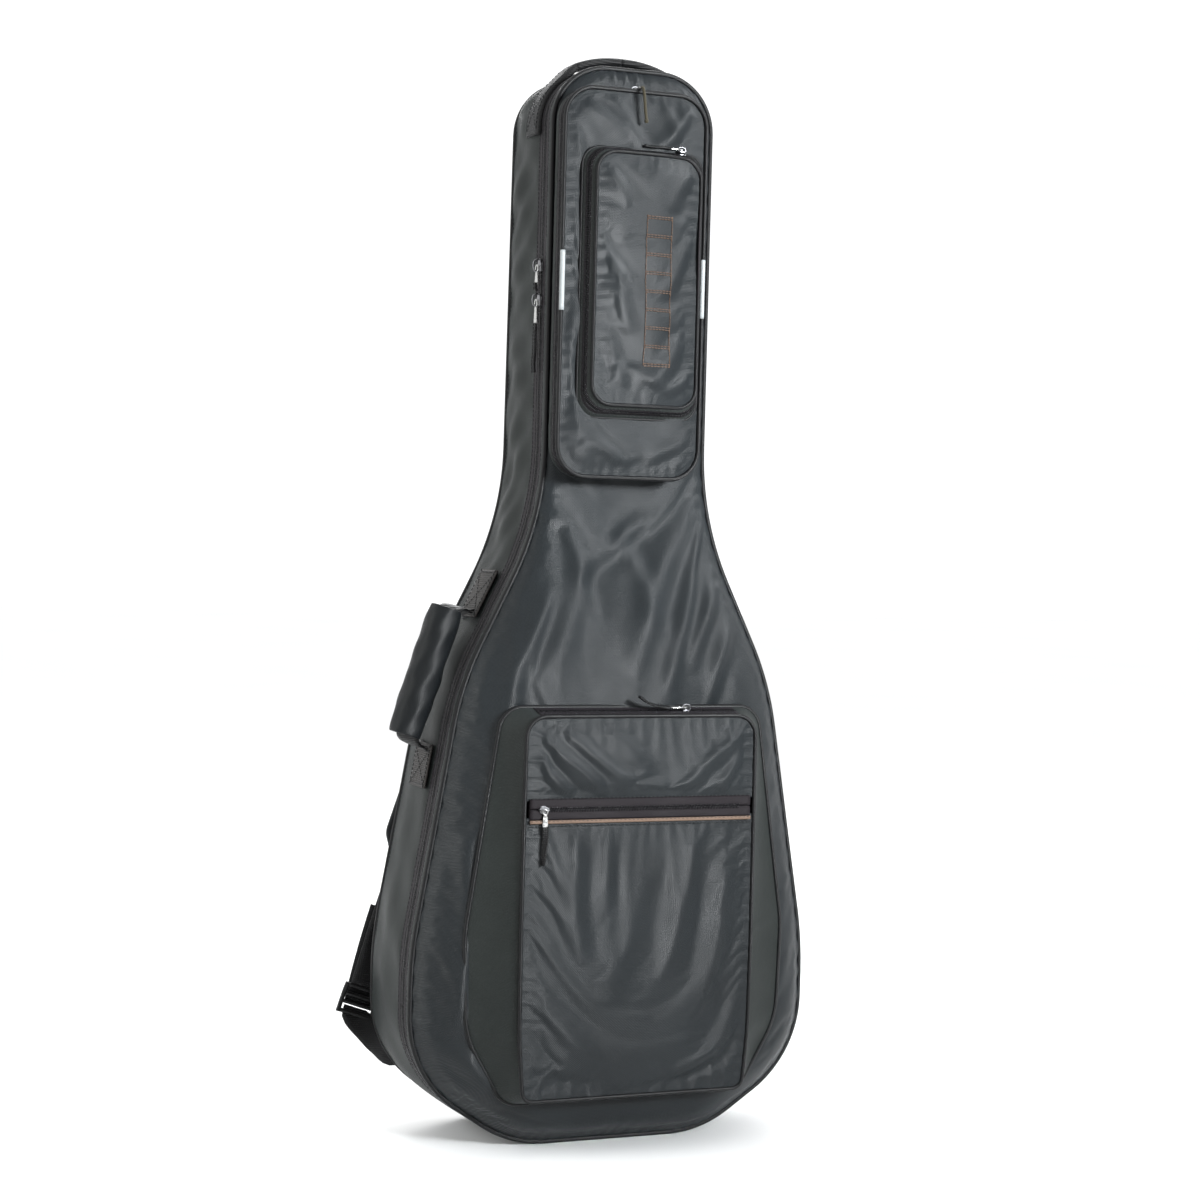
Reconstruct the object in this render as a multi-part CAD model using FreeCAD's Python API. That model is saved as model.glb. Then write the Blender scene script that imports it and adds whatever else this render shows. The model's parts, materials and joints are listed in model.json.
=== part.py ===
"""Padded gig bag for an acoustic guitar, standing on its bottom wear pad.

Row frame, millimetres: X to the wearer's-front right, Y from the front panel to the back panel, Z up.
The origin is the centre of the wear pad's flat underside.
The bag is a foam-padded rear shell and a foam-padded front lid, joined by a zip that runs round the
outline in the side gusset, with three zipped pockets on the lid, two handles and two shoulder straps.
"""

import FreeCAD, Part
import math
import os

V = FreeCAD.Vector

# ---------------------------------------------------------------- driving dimensions
PAD_T = 3.0  # wear pad under the bag
BAG_H = 1062.0  # bottom seam to top seam
DEPTH_BOTTOM = 125.0  # front seam to back panel at the bottom
DEPTH_TOP = 105.0  # the same at the head end
FRONT = -DEPTH_BOTTOM / 2  # plane of the front seam
SPLIT = FRONT + 21.0  # plane of the main zip, between rear shell and lid
COVER = 1.2  # outer nylon
FOAM = 10.0
LINING = 1.0
CROWN_BODY = 36.0  # how far the lid stands forward of its seam, over the body
CROWN_NECK = 8.0  # and over the neck
BEVEL_RISE, BEVEL_IN = 44.0, 28.0  # the slope from the seam up to the crown
PIPING = 2.5

TAPE_T = 0.8  # zip tape thickness
TAPE_W = 15.0  # main zip, each tape
COIL_W, COIL_H, COIL_GAP = 2.2, 1.6, 1.4
CHANNEL = 8.0  # half the foam-free channel under the main zip

WALL = 2.0  # pocket walls
LOWER_BASE = CROWN_BODY + 0.5  # pocket planes, as distances in front of the seam plane
LOWER_FACE = 65.0
LOWER_ZIP = 50.0
LINER = 57.0
NECK_BASE = CROWN_NECK + 0.5
NECK_ZIP = 19.0
NECK_FACE = 28.0
SMALL_ZIP = 36.0
SMALL_FACE = 44.0

DOC_ZIP_Z = 338.0  # height of the document zip
DOC_HALF = 112.0

# outlines: (x, z, corner radius) of the right half, bottom centre to top centre
BAG = [(102, 0, 118), (210, 72, 112), (210, 190, 400), (165, 455, 300), (84, 620, 300), (84, BAG_H, 55)]
LOWER_OUT = [(126, 48, 26), (166, 118, 90), (169, 215, 160), (136, 434, 24)]
LOWER_IN = [(116, 56, 10), (121, 115, 300), (122, 215, 300), (121, 427, 20)]
NECK_BOX = (-83.0, 66.0, 660.0, 1037.0, 30.0)  # x low, x high, z low, z high, corner radius
SMALL_BOX = (-65.0, 62.0, 718.0, 980.0, 18.0)

os.makedirs("parts", exist_ok=True)
for old in os.listdir("parts"):
    os.remove(os.path.join("parts", old))


# ---------------------------------------------------------------- outlines and solids
def symmetric(half):
    """Both halves of an outline, counter-clockwise from the front, standing on the wear pad."""
    right = [(x, z + PAD_T, r) for x, z, r in half]
    return right + [(-x, z, r) for x, z, r in reversed(right)]


def rounded_box(box, grow=0.0):
    x0, x1, z0, z1, r = box
    corners = [(x0, z0), (x1, z0), (x1, z1), (x0, z1)]
    return inset([(x, z + PAD_T, r) for x, z in corners], -grow)


def inset(points, d):
    """The outline moved in by d: corners that point out lose radius, corners that point in gain it."""
    n, out = len(points), []
    for i in range(n):
        (ax, az, _), (bx, bz, r), (cx, cz, _) = points[i - 1], points[i], points[(i + 1) % n]
        u, w = V(bx - ax, 0, bz - az), V(cx - bx, 0, cz - bz)
        u.normalize()
        w.normalize()
        turn = u.x * w.z - u.z * w.x
        m = V(-u.z, 0, u.x) + V(-w.z, 0, w.x)
        m = m * (2 * d / m.dot(m))
        out.append((bx + m.x, bz + m.z, max(r - d if turn > 0 else r + d, 0.2)))
    return out


def wire(points, y):
    """Straight runs joined by tangent arcs, in the plane y."""
    n, ends = len(points), []
    for i in range(n):
        (ax, az, _), (bx, bz, r), (cx, cz, _) = points[i - 1], points[i], points[(i + 1) % n]
        b, u, w = V(bx, y, bz), V(ax - bx, 0, az - bz), V(cx - bx, 0, cz - bz)
        u.normalize()
        w.normalize()
        half = u.getAngle(w) / 2
        back = r / math.tan(half)
        bis = u + w
        bis.normalize()
        middle = b + bis * (r / math.sin(half) - r)
        ends.append((b + u * back, middle, b + w * back))
    edges = []
    for i in range(n):
        start, middle, end = ends[i]
        edges.append(Part.Arc(start, middle, end).toShape())
        edges.append(Part.LineSegment(end, ends[(i + 1) % n][0]).toShape())
    return Part.Wire(edges)


def prism(points, y0, y1):
    return Part.Face(wire(points, y0)).extrude(V(0, y1 - y0, 0))


def frustum(points0, y0, points1, y1):
    return Part.makeLoft([wire(points0, y0), wire(points1, y1)], True, True)


def ring(points, outer, inner, y0, y1):
    """A closed band between two insets of an outline."""
    return prism(inset(points, outer), y0, y1).cut(prism(inset(points, inner), y0 - 1, y1 + 1))


def box(x0, x1, y0, y1, z0, z1):
    return Part.makeBox(x1 - x0, y1 - y0, z1 - z0, V(x0, y0, z0))


def side_profile(points):
    """A solid from a polygon in the YZ plane, wide enough to cut the whole bag."""
    face = Part.Face(Part.makePolygon([V(-400, y, z) for y, z in points + points[:1]]))
    return face.extrude(V(800, 0, 0))


def plate(points, x0, x1):
    """A solid from a polygon in the YZ plane between two x."""
    face = Part.Face(Part.makePolygon([V(x0, y, z) for y, z in points + points[:1]]))
    return face.extrude(V(x1 - x0, 0, 0))


def back_y(z):
    """The back panel leans forward towards the head end."""
    return FRONT + DEPTH_BOTTOM - (DEPTH_BOTTOM - DEPTH_TOP) * (z - PAD_T) / BAG_H


def save(name, *solids):
    shape = solids[0] if len(solids) == 1 else Part.makeCompound(list(solids))
    shape = shape.removeSplitter() if len(solids) == 1 else shape
    if not shape.isValid() or shape.Volume <= 0:
        print("BAD", name, shape.isValid(), shape.Volume)
    shape.exportStep("parts/%s.step" % name)
    VOLUMES[name] = shape.Volume


VOLUMES = {}
BODY = symmetric(BAG)
LOW, HIGH = -30.0, BAG_H + 60.0
NECK_TOP_Z, BODY_TOP_Z = 660.0, 500.0  # between these the crown falls from body to neck height


# ---------------------------------------------------------------- rear shell
def behind(y, t):
    """Everything between an upright plane at y and t inside the leaning back surface."""
    return side_profile([(y, LOW), (y, HIGH), (back_y(HIGH) - t, HIGH), (back_y(LOW) - t, LOW)])


def rear_volume(t):
    """Everything of the rear shell that lies at least t inside its outer surface."""
    return prism(inset(BODY, t), SPLIT - 1, -FRONT + 5).common(behind(SPLIT - 1, t))


def back_slab(t0, t1):
    """The slab between two depths under the leaning back surface."""
    return side_profile([(back_y(LOW) - t1, LOW), (back_y(HIGH) - t1, HIGH),
                         (back_y(HIGH) - t0, HIGH), (back_y(LOW) - t0, LOW)])


HINGE_LOW, HINGE_HIGH = 190.0, 440.0
HINGE_ZONE = box(62, 300, -200, 200, HINGE_LOW, HINGE_HIGH)  # the sewn side of the lid, with no zip


def build_rear_shell():
    skin = COVER + FOAM
    whole = rear_volume(COVER)
    back = back_slab(COVER, skin)
    sides = behind(SPLIT + CHANNEL, skin)
    save("back_panel_foam", whole.common(back))
    save("side_gusset_foam", whole.common(sides).cut(rear_volume(skin)))
    cover = rear_volume(0)
    save("back_panel_cover", cover.common(back_slab(0, COVER)))
    beyond_tape = SPLIT + TAPE_W + COIL_GAP / 2
    outer = behind(beyond_tape, COVER)
    shell = cover.cut(rear_volume(COVER))
    hinge = ring(BODY, 0, COVER, SPLIT + 0.6, beyond_tape).common(HINGE_ZONE)
    save("side_gusset_cover", shell.common(outer).fuse(hinge))
    inner = side_profile([(SPLIT + CHANNEL, LOW), (SPLIT + CHANNEL, HIGH), (200, HIGH), (200, LOW)])
    save("rear_lining", rear_volume(skin).cut(rear_volume(skin + LINING)).common(inner))
    edge = ring(BODY, -PIPING, 0, 20, 80).common(back_slab(-1.0, PIPING + 1.5))
    save("back_edge_piping", edge)
    tape = ring(BODY, 0, TAPE_T, SPLIT + COIL_GAP / 2, beyond_tape)
    coil = ring(BODY, -COIL_H, 0, SPLIT + COIL_GAP / 2, SPLIT + COIL_GAP / 2 + COIL_W)
    save("main_zip_rear_tape", tape.fuse(coil).cut(HINGE_ZONE))
    pad = ring(BODY, -PAD_T, -0.02, -42, 42).common(box(-118, 118, -60, 60, -5, 40))
    coil_groove = ring(BODY, -COIL_H - 0.4, 0.5, SPLIT - 6, SPLIT + COIL_GAP / 2 + COIL_W + 0.5)
    save("bottom_wear_pad", pad.cut(coil_groove))


# ---------------------------------------------------------------- front lid
def lid_volume(t):
    """Everything of the lid that lies at least t inside its outer surface."""
    straight = prism(inset(BODY, t), FRONT, SPLIT + 1)
    slope = frustum(inset(BODY, t), FRONT, inset(BODY, t + BEVEL_IN), FRONT - BEVEL_RISE)
    body, neck = FRONT - CROWN_BODY + t, FRONT - CROWN_NECK + t
    cut = side_profile([(SPLIT + 1, LOW), (SPLIT + 1, HIGH), (neck, HIGH), (neck, NECK_TOP_Z),
                        (body, BODY_TOP_Z), (body, LOW)])
    return straight.fuse(slope).common(cut)


def in_front_of(y):
    return box(-400, 400, -300, y, -50, 1300)


def build_lid():
    skin = COVER + FOAM
    outer, middle, inner, innermost = [lid_volume(t) for t in (0, COVER, skin, skin + LINING)]
    save("front_panel_foam", middle.cut(inner).common(in_front_of(SPLIT - CHANNEL)))
    save("front_panel_lining", inner.cut(innermost).common(in_front_of(SPLIT - CHANNEL)))
    save("front_panel_cover", outer.cut(middle).common(in_front_of(FRONT)))
    band_end = SPLIT - TAPE_W - COIL_GAP / 2
    band = ring(BODY, 0, COVER, FRONT, band_end)
    hinge = ring(BODY, 0, COVER, band_end, SPLIT - 0.6).common(HINGE_ZONE)
    save("front_band_cover", band.fuse(hinge))
    tape = ring(BODY, 0, TAPE_T, band_end, SPLIT - COIL_GAP / 2)
    coil = ring(BODY, -COIL_H, 0, SPLIT - COIL_GAP / 2 - COIL_W, SPLIT - COIL_GAP / 2)
    save("main_zip_front_tape", tape.fuse(coil).cut(HINGE_ZONE))
    seam = ring(BODY, -PIPING, 0, FRONT - 1.5, FRONT + 3.5)
    save("front_edge_piping", seam)


# ---------------------------------------------------------------- lower pocket
LOWER_O, LOWER_I = symmetric(LOWER_OUT), symmetric(LOWER_IN)


def lower_volume(t):
    return frustum(inset(LOWER_O, t), FRONT - LOWER_BASE, inset(LOWER_I, t), FRONT - LOWER_FACE)


LOWER_TOP = LOWER_IN[-1][1] + PAD_T
LOWER_ZIP_HALF = 100.0  # the straight stretch of the pocket's top zip


def lower_top_z(front):
    """Height of the pocket's sloping top at a distance in front of the seam plane."""
    share = (front - LOWER_BASE) / (LOWER_FACE - LOWER_BASE)
    return PAD_T + LOWER_OUT[-1][1] + share * (LOWER_IN[-1][1] - LOWER_OUT[-1][1])


def sloped_tape(front0, front1, coil_at):
    """A tape on the pocket's top between two distances in front of the seam plane, with its coil."""
    z0, z1 = lower_top_z(front0), lower_top_z(front1)
    y0, y1 = FRONT - front0, FRONT - front1
    flat = plate([(y0, z0 - TAPE_T), (y0, z0), (y1, z1), (y1, z1 - TAPE_T)], -LOWER_ZIP_HALF, LOWER_ZIP_HALF)
    c0, c1 = coil_at
    zc0, zc1 = lower_top_z(c0), lower_top_z(c1)
    teeth = [(FRONT - c0, zc0), (FRONT - c0, zc0 + COIL_H), (FRONT - c1, zc1 + COIL_H), (FRONT - c1, zc1)]
    coil = plate(teeth, -LOWER_ZIP_HALF, LOWER_ZIP_HALF)
    return flat.fuse(coil)


def build_lower_pocket():
    y_base, y_face = FRONT - LOWER_BASE, FRONT - LOWER_FACE
    walls = lower_volume(0).cut(lower_volume(WALL))
    walls = walls.cut(lower_volume(WALL).common(box(-400, 400, y_face - 1, y_base + 1, 0, 600)))
    mouth = box(-LOWER_ZIP_HALF, LOWER_ZIP_HALF, y_face - 5, y_base + 5, LOWER_TOP - 12, LOWER_TOP + 20)
    walls = walls.common(box(-400, 400, y_face + 1.0, y_base, 0, 600)).cut(mouth)
    save("lower_pocket_gusset", walls)
    half = COIL_GAP / 2
    rear = sloped_tape(LOWER_BASE + 0.3, LOWER_ZIP - half, (LOWER_ZIP - half - COIL_W, LOWER_ZIP - half))
    save("lower_pocket_zip_rear_tape", rear)
    front = sloped_tape(LOWER_ZIP + half, LOWER_FACE - 0.2, (LOWER_ZIP + half, LOWER_ZIP + half + COIL_W))
    save("lower_pocket_zip_front_tape", front)
    face = prism(LOWER_I, y_face - WALL, y_face)
    doc = DOC_ZIP_Z + PAD_T
    slit = box(-DOC_HALF, DOC_HALF, y_face - 10, y_face + 5, doc - 13, doc + 13)
    upper = face.common(box(-300, 300, -300, 300, doc, 600)).cut(slit)
    lower = face.common(box(-300, 300, -300, 300, 0, doc)).cut(slit)
    save("lower_pocket_upper_face", upper)
    save("lower_pocket_lower_face", lower)
    tapes = []
    for sign in (-1, 1):
        near, far, coil = doc + sign * half, doc + sign * 13, doc + sign * (half + COIL_W)
        y_tape = y_face - TAPE_T
        tape = box(-DOC_HALF, DOC_HALF, y_tape, y_face, min(near, far), max(near, far))
        teeth = box(-DOC_HALF, DOC_HALF, y_tape - COIL_H, y_tape, min(near, coil), max(near, coil))
        tapes.append(tape.fuse(teeth))
    save("document_zip_tapes", *tapes)
    trim = box(-DOC_HALF + 1, DOC_HALF - 1, y_face - WALL - 1.2, y_face - WALL, doc - 18, doc - 13)
    save("document_zip_trim", trim)
    y_liner = FRONT - LINER
    liner = prism(inset(LOWER_I, 8), y_liner - 0.8, y_liner).common(box(-300, 300, -300, 300, 0, doc + 40))
    top_hem = box(-100, 100, y_face + 0.01, y_liner - 0.8, doc + 36, doc + 40)
    save("document_pocket_liner", liner.fuse(top_hem))
    rim = ring(LOWER_O, -1.8, -0.2, y_base - 3.0, y_base + 0.3)
    edge = ring(LOWER_I, -1.6, -0.1, y_face - WALL, y_face - 0.1)
    save("lower_pocket_piping", rim, edge)


# ---------------------------------------------------------------- neck pocket and the small pocket on it
def open_side(x_from, lowest, highest):
    """The strip along the right-hand edge where a flap is sewn on, so no zip runs there."""
    return box(x_from, x_from + 60, -300, 300, lowest + 34, highest - 28)


def zip_ring(shape, y_coil, sign, width, x_hinge, lowest, highest):
    """One half of a pocket zip that runs round three sides: tape and coil. sign is +1 for the rear half."""
    near = y_coil + sign * COIL_GAP / 2
    far, teeth = near + sign * width, near + sign * COIL_W
    tape = ring(shape, 0, TAPE_T, min(near, far), max(near, far))
    coil = ring(shape, -COIL_H, 0, min(near, teeth), max(near, teeth))
    coil = coil.cut(open_side(x_hinge, lowest, highest))
    return tape.fuse(coil)


def build_neck_pockets():
    x0, x1, z0, z1, _ = NECK_BOX
    shape = rounded_box(NECK_BOX)
    y_base, y_zip, y_face = FRONT - NECK_BASE, FRONT - NECK_ZIP, FRONT - NECK_FACE
    base_end = y_zip + COIL_GAP / 2 + 5
    save("neck_pocket_base_wall", ring(shape, 0, WALL, base_end, y_base))
    save("neck_pocket_zip_rear_tape", zip_ring(shape, y_zip, 1, 5, x1 - 8, z0 + PAD_T, z1 + PAD_T))
    flap_end = y_zip - COIL_GAP / 2 - 5
    save("neck_pocket_zip_front_tape", zip_ring(shape, y_zip, -1, 5, x1 - 8, z0 + PAD_T, z1 + PAD_T))
    save("neck_pocket_flap_wall", ring(shape, 0, WALL, y_face, flap_end))
    face = prism(shape, y_face - WALL, y_face)
    save("neck_pocket_flap_face", face)
    edge = ring(shape, -PIPING, 0, y_face - WALL, y_face + 1.5)
    strips, left_gap = [], []
    for x in (x0 - 4, x1 - 2):
        gap = box(x, x + 6, y_face - 10, y_face + 10, 820 + PAD_T, 878 + PAD_T)
        strips.append(edge.common(gap))
        left_gap.append(gap)
    for gap in left_gap:
        edge = edge.cut(gap)
    pieces = edge.Solids
    save("neck_pocket_piping", *pieces)
    save("reflective_strips", *[s for strip in strips for s in strip.Solids])

    sx0, sx1, sz0, sz1, _ = SMALL_BOX
    small = rounded_box(SMALL_BOX)
    base, coil_y, front = y_face - WALL, FRONT - SMALL_ZIP, FRONT - SMALL_FACE
    slider_channel = ring(small, 0.9, WALL + 1, coil_y - 4.6, coil_y + 4.6)
    wall = ring(small, 0, WALL, coil_y + COIL_GAP / 2, base).cut(slider_channel)
    coil = ring(small, -COIL_H, 0, coil_y + COIL_GAP / 2, coil_y + COIL_GAP / 2 + COIL_W)
    coil = coil.cut(open_side(sx1 - 8, sz0 + PAD_T, sz1 + PAD_T))
    save("small_pocket_base_wall", wall.fuse(coil))
    wall = ring(small, 0, WALL, front, coil_y - COIL_GAP / 2).cut(slider_channel)
    coil = ring(small, -COIL_H, 0, coil_y - COIL_GAP / 2 - COIL_W, coil_y - COIL_GAP / 2)
    coil = coil.cut(open_side(sx1 - 8, sz0 + PAD_T, sz1 + PAD_T))
    save("small_pocket_flap_wall", wall.fuse(coil))
    save("small_pocket_flap_face", prism(small, front - WALL, front))
    save("small_pocket_piping", ring(small, -2.0, 0, front - WALL, front + 1.2))
    build_motif(front - WALL)


def build_motif(y):
    """A raised embroidered ladder of plain bars: a guitar neck seen from the front."""
    x_mid, z_low, bars, step = 12.0, 770.0 + PAD_T, 9, 18.0
    length = (bars - 1) * step
    motif = box(x_mid - 14.9, x_mid - 13.1, y - 0.7, y, z_low, z_low + length)
    motif = motif.fuse(box(x_mid + 13.1, x_mid + 14.9, y - 0.7, y, z_low, z_low + length))
    for i in range(bars):
        z = z_low + i * step
        motif = motif.fuse(box(x_mid - 14.9, x_mid + 14.9, y - 0.7, y, z - 0.9, z + 0.9))
    save("embroidered_motif", motif)


# ---------------------------------------------------------------- zip sliders and pulls
def local(s0, s1, t0, t1, n0, n1):
    return box(s0, s1, t0, t1, n0, n1)


def slider_solid(k):
    """A slider in its own frame: X along the zip, Y across it, Z outwards, origin on the tape."""
    top = local(-6, 6, -4.5, 4.5, 2.0, 3.2)
    under = local(-6, 6, -4.5, 4.5, -2.4, -1.2)
    post = local(1, 5, -0.32, 0.32, -1.3, 2.1)
    bridge = local(-5.5, 5.5, -0.9, 0.9, 3.1, 8.4).cut(local(-4.3, 4.3, -2, 2, 3.2, 7.2))
    solid = top.fuse([under, post, bridge]).removeSplitter()
    return solid.scale(k, V(0, 0, 0))


PIVOT = 4.7  # height of a pull's pin over the tape, before scaling


def pull_solids(k, across, tag_length, tab_length=22.0, tag_width=8.0, drop=None):
    """A pull's tab and its fabric tag, lying along -X, or along -Y where across is true."""
    reach, inner, outer = (6.0, 2.0, 3.4) if across else (8.0, 2.2, 4.0)
    pin = Part.makeCylinder(0.8, 2 * outer, V(0, -outer, PIVOT), V(0, 1, 0))
    tab = local(-tab_length, -reach, -outer, outer, PIVOT - 0.7, PIVOT + 0.7)
    arms = []
    for side in (-outer, inner):
        arms.append(local(-reach - 0.1, 0.3, side, side + outer - inner, PIVOT - 0.7, PIVOT + 0.7))
    metal = pin.fuse([tab] + arms).removeSplitter()
    if drop is None:
        end = -tab_length - tag_length
        tag = local(end, -tab_length, -tag_width / 2, tag_width / 2, PIVOT - 1, PIVOT + 1)
    else:
        tag = local(-tab_length - 2.5, -tab_length, -tag_width / 2, tag_width / 2, PIVOT - drop, PIVOT + 1)
    solids = []
    for solid in (metal, tag):
        if across:
            solid.rotate(V(0, 0, 0), V(0, 0, 1), 90)
        solids.append(solid.scale(k, V(0, 0, 0)))
    return solids


def placed(solid, origin, along, outward):
    """Carries a solid from a slider's own frame to the bag's."""
    across = outward.cross(along)
    m = FreeCAD.Matrix(along.x, across.x, outward.x, origin.x, along.y, across.y, outward.y, origin.y,
                       along.z, across.z, outward.z, origin.z, 0, 0, 0, 1)
    return moved(solid, m)


def moved(solid, matrix):
    out = solid.copy()
    out.Placement = FreeCAD.Placement(matrix).multiply(out.Placement)
    return out


def zip_slider(name, origin, along, outward, k, across=False, **pull):
    save(name + "_slider", placed(slider_solid(k), origin, along, outward))
    save(name + "_pull", *[placed(s, origin, along, outward) for s in pull_solids(k, across, **pull)])
    pivot = origin + outward * (PIVOT * k)
    axis = along if across else outward.cross(along)
    JOINTS[name] = ([round(c, 3) for c in pivot], [round(c, 4) for c in axis])


JOINTS = {}
X, Y, Z = V(1, 0, 0), V(0, 1, 0), V(0, 0, 1)
UPPER_SLIDER_Z, LOWER_SLIDER_Z = 867.0, 833.0


def build_sliders():
    side = -BODY[5][0]  # the straight neck edge, on the left
    upper, lower = V(side, SPLIT, UPPER_SLIDER_Z + PAD_T), V(side, SPLIT, LOWER_SLIDER_Z + PAD_T)
    zip_slider("main_upper", upper, Z, -X, 1.25, tag_length=4, tab_length=16)
    zip_slider("main_lower", lower, Z, -X, 1.25, tag_length=38, tab_length=20)
    top = V(-6, FRONT - NECK_ZIP, NECK_BOX[3] + PAD_T)
    zip_slider("neck_pocket", top, X, Z, 0.9, across=True, tag_length=0, tab_length=18, tag_width=4, drop=40)
    top = V(38, FRONT - SMALL_ZIP, SMALL_BOX[3] + PAD_T)
    zip_slider("small_pocket", top, X, Z, 0.8, tag_length=34, tab_length=18, tag_width=6)
    slope = math.atan2(LOWER_OUT[-1][1] - LOWER_IN[-1][1], LOWER_FACE - LOWER_BASE)
    upwards = V(0, -math.sin(slope), math.cos(slope))
    top = V(52, FRONT - LOWER_ZIP, lower_top_z(LOWER_ZIP))
    zip_slider("lower_pocket", top, X, upwards, 0.9, tag_length=36, tab_length=22)
    doc = V(-DOC_HALF + 10, FRONT - LOWER_FACE - TAPE_T, DOC_ZIP_Z + PAD_T)
    zip_slider("document", doc, X, -Y, 0.9, across=True, tag_length=40, tab_length=20)


# ---------------------------------------------------------------- handles
def strip_along(points, thickness, y0, y1):
    """A strap of even thickness whose centreline is a polyline in the XZ plane, between two y."""
    left, right = [], []
    for i, (x, z) in enumerate(points):
        before, after = points[max(i - 1, 0)], points[min(i + 1, len(points) - 1)]
        d = V(after[0] - before[0], 0, after[1] - before[1])
        d.normalize()
        k = thickness / 2
        if 0 < i < len(points) - 1:
            e = V(x - before[0], 0, z - before[1])
            k /= max(math.cos(e.getAngle(d)), 0.5)
        left.append(V(x - d.z * k, y0, z + d.x * k))
        right.append(V(x + d.z * k, y0, z - d.x * k))
    loop = left + right[::-1]
    return Part.Face(Part.makePolygon(loop + loop[:1])).extrude(V(0, y1 - y0, 0))


HANDLE_Y = FRONT + 60.0
HANDLE_W = 12.5  # half the webbing's width
PATCH_W = 24.0  # half the width of the patches that hold it
HANDLE_TOP, HANDLE_LOW = (-132.6, 521.0 + PAD_T), (-176.9, 385.0 + PAD_T)  # where it leaves the gusset
WEB = 2.6  # webbing thickness
PIVOT_OUT = 15.5  # the webbing's flexing line, out from the gusset
GRIP_OUT = 46.0  # grip's centre, out from the gusset, before the handle is swung
HANDLE_REST = -45.0  # degrees that the handle hangs forwards
GRIP_R, GRIP_L = 18.0, 134.0


def handle_frame():
    a, b = V(HANDLE_TOP[0], 0, HANDLE_TOP[1]), V(HANDLE_LOW[0], 0, HANDLE_LOW[1])
    u = b - a
    length = u.Length
    u.normalize()
    return a, u, V(u.z, 0, -u.x), length  # start, along, outwards


def handle_point(along, out):
    a, u, n, _ = handle_frame()
    p = a + u * along + n * out
    return (p.x, p.z)


def swung(solid):
    """The handle's own pieces, turned forwards about the line through both flexing points."""
    a, u, n, _ = handle_frame()
    pivot = a + n * PIVOT_OUT + V(0, HANDLE_Y, 0)
    out = solid.copy()
    out.rotate(pivot, u, HANDLE_REST)
    return out


def handle_end(along):
    """The round end of a webbing, lying on the flexing line."""
    x, z = handle_point(along - WEB / 2, PIVOT_OUT)
    u = handle_frame()[1]
    return Part.makeCylinder(HANDLE_W, WEB, V(x, HANDLE_Y, z), u)


def build_carry_handle():
    a, u, n, length = handle_frame()
    y0, y1 = HANDLE_Y - HANDLE_W, HANDLE_Y + HANDLE_W
    bend, lap = 9.0, WEB + 0.4
    path = [handle_point(lap, PIVOT_OUT), handle_point(lap, GRIP_OUT - bend),
            handle_point(bend + lap, GRIP_OUT), handle_point(length - bend - lap, GRIP_OUT),
            handle_point(length - lap, GRIP_OUT - bend), handle_point(length - lap, PIVOT_OUT)]
    webbing = strip_along(path, WEB, y0, y1).fuse([handle_end(lap), handle_end(length - lap)])
    save("carry_handle_webbing", swung(webbing.removeSplitter()))
    grip_x, grip_z = handle_point((length - GRIP_L) / 2, GRIP_OUT)
    grip = Part.makeCylinder(GRIP_R, GRIP_L, V(grip_x, HANDLE_Y, grip_z), u)
    passage = [handle_point(lap, PIVOT_OUT)] + path[1:-1] + [handle_point(length - lap, PIVOT_OUT)]
    save("carry_handle_grip", swung(grip.cut(strip_along(passage, WEB + 0.2, y0 - 0.1, y1 + 0.1))))
    patches = []
    for along, surface_z, direction in ((0, HANDLE_TOP[1], 1), (length, HANDLE_LOW[1], -1)):
        on_gusset = ring(BODY, -2.4, -0.05, HANDLE_Y - PATCH_W, HANDLE_Y + PATCH_W)
        z_low, z_high = (surface_z - 6, surface_z + 44) if direction > 0 else (surface_z - 44, surface_z + 6)
        patch = on_gusset.common(box(-300, 0, -100, 100, z_low, z_high))
        stub = strip_along([handle_point(along, -6), handle_point(along, PIVOT_OUT)], WEB, y0, y1)
        stub = stub.fuse(handle_end(along)).cut(prism(inset(BODY, -0.05), y0 - 5, y1 + 5))
        patches.append(patch.fuse(stub).removeSplitter())
    save("carry_handle_patches", *patches)
    pivot = a + n * PIVOT_OUT
    JOINTS["carry_handle"] = ([round(pivot.x, 3), HANDLE_Y, round(pivot.z, 3)], [round(c, 5) for c in u])


GRAB_Y = FRONT + 46.0
GRAB_W = 15.0
GRAB_T = 6.0  # doubled webbing
GRAB_RISE, GRAB_SPAN = 37.0, 66.0
GRAB_MOVING = 34.0  # half-width of the part that can swing


def grab_arch(half_from, half_to, y0, y1):
    """A stretch of the arched webbing over the head end."""
    radius = (GRAB_SPAN ** 2 + GRAB_RISE ** 2) / (2 * GRAB_RISE)
    top = BAG_H + PAD_T + 19.0
    centre = V(0, y0, top - radius)
    outer = Part.makeCylinder(radius, y1 - y0, centre, Y)
    hoop = outer.cut(Part.makeCylinder(radius - GRAB_T, y1 - y0, centre, Y))
    return hoop.common(box(half_from, half_to, y0 - 1, y1 + 1, centre.z, top + 5))


def build_grab_handle():
    y0, y1 = GRAB_Y - GRAB_W, GRAB_Y + GRAB_W
    save("grab_handle_webbing", grab_arch(-GRAB_MOVING, GRAB_MOVING, y0, y1))
    clear = prism(inset(BODY, -0.05), y0 - 10, y1 + 10)
    patches = []
    for sign in (-1, 1):
        lo, hi = sorted((sign * (GRAB_MOVING + 0.5), sign * 62))
        stub = grab_arch(lo, hi, y0, y1).cut(clear)
        lo, hi = sorted((sign * 55, sign * 95))
        patch = ring(BODY, -2.6, -0.05, y0 - 2, y1 + 2).common(box(lo, hi, -100, 100, 1006, 1100))
        patches.append(patch.fuse(stub).removeSplitter())
    save("grab_handle_patches", *patches)
    JOINTS["grab_handle"] = ([0, GRAB_Y, BAG_H + PAD_T - 3], [1, 0, 0])


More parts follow.
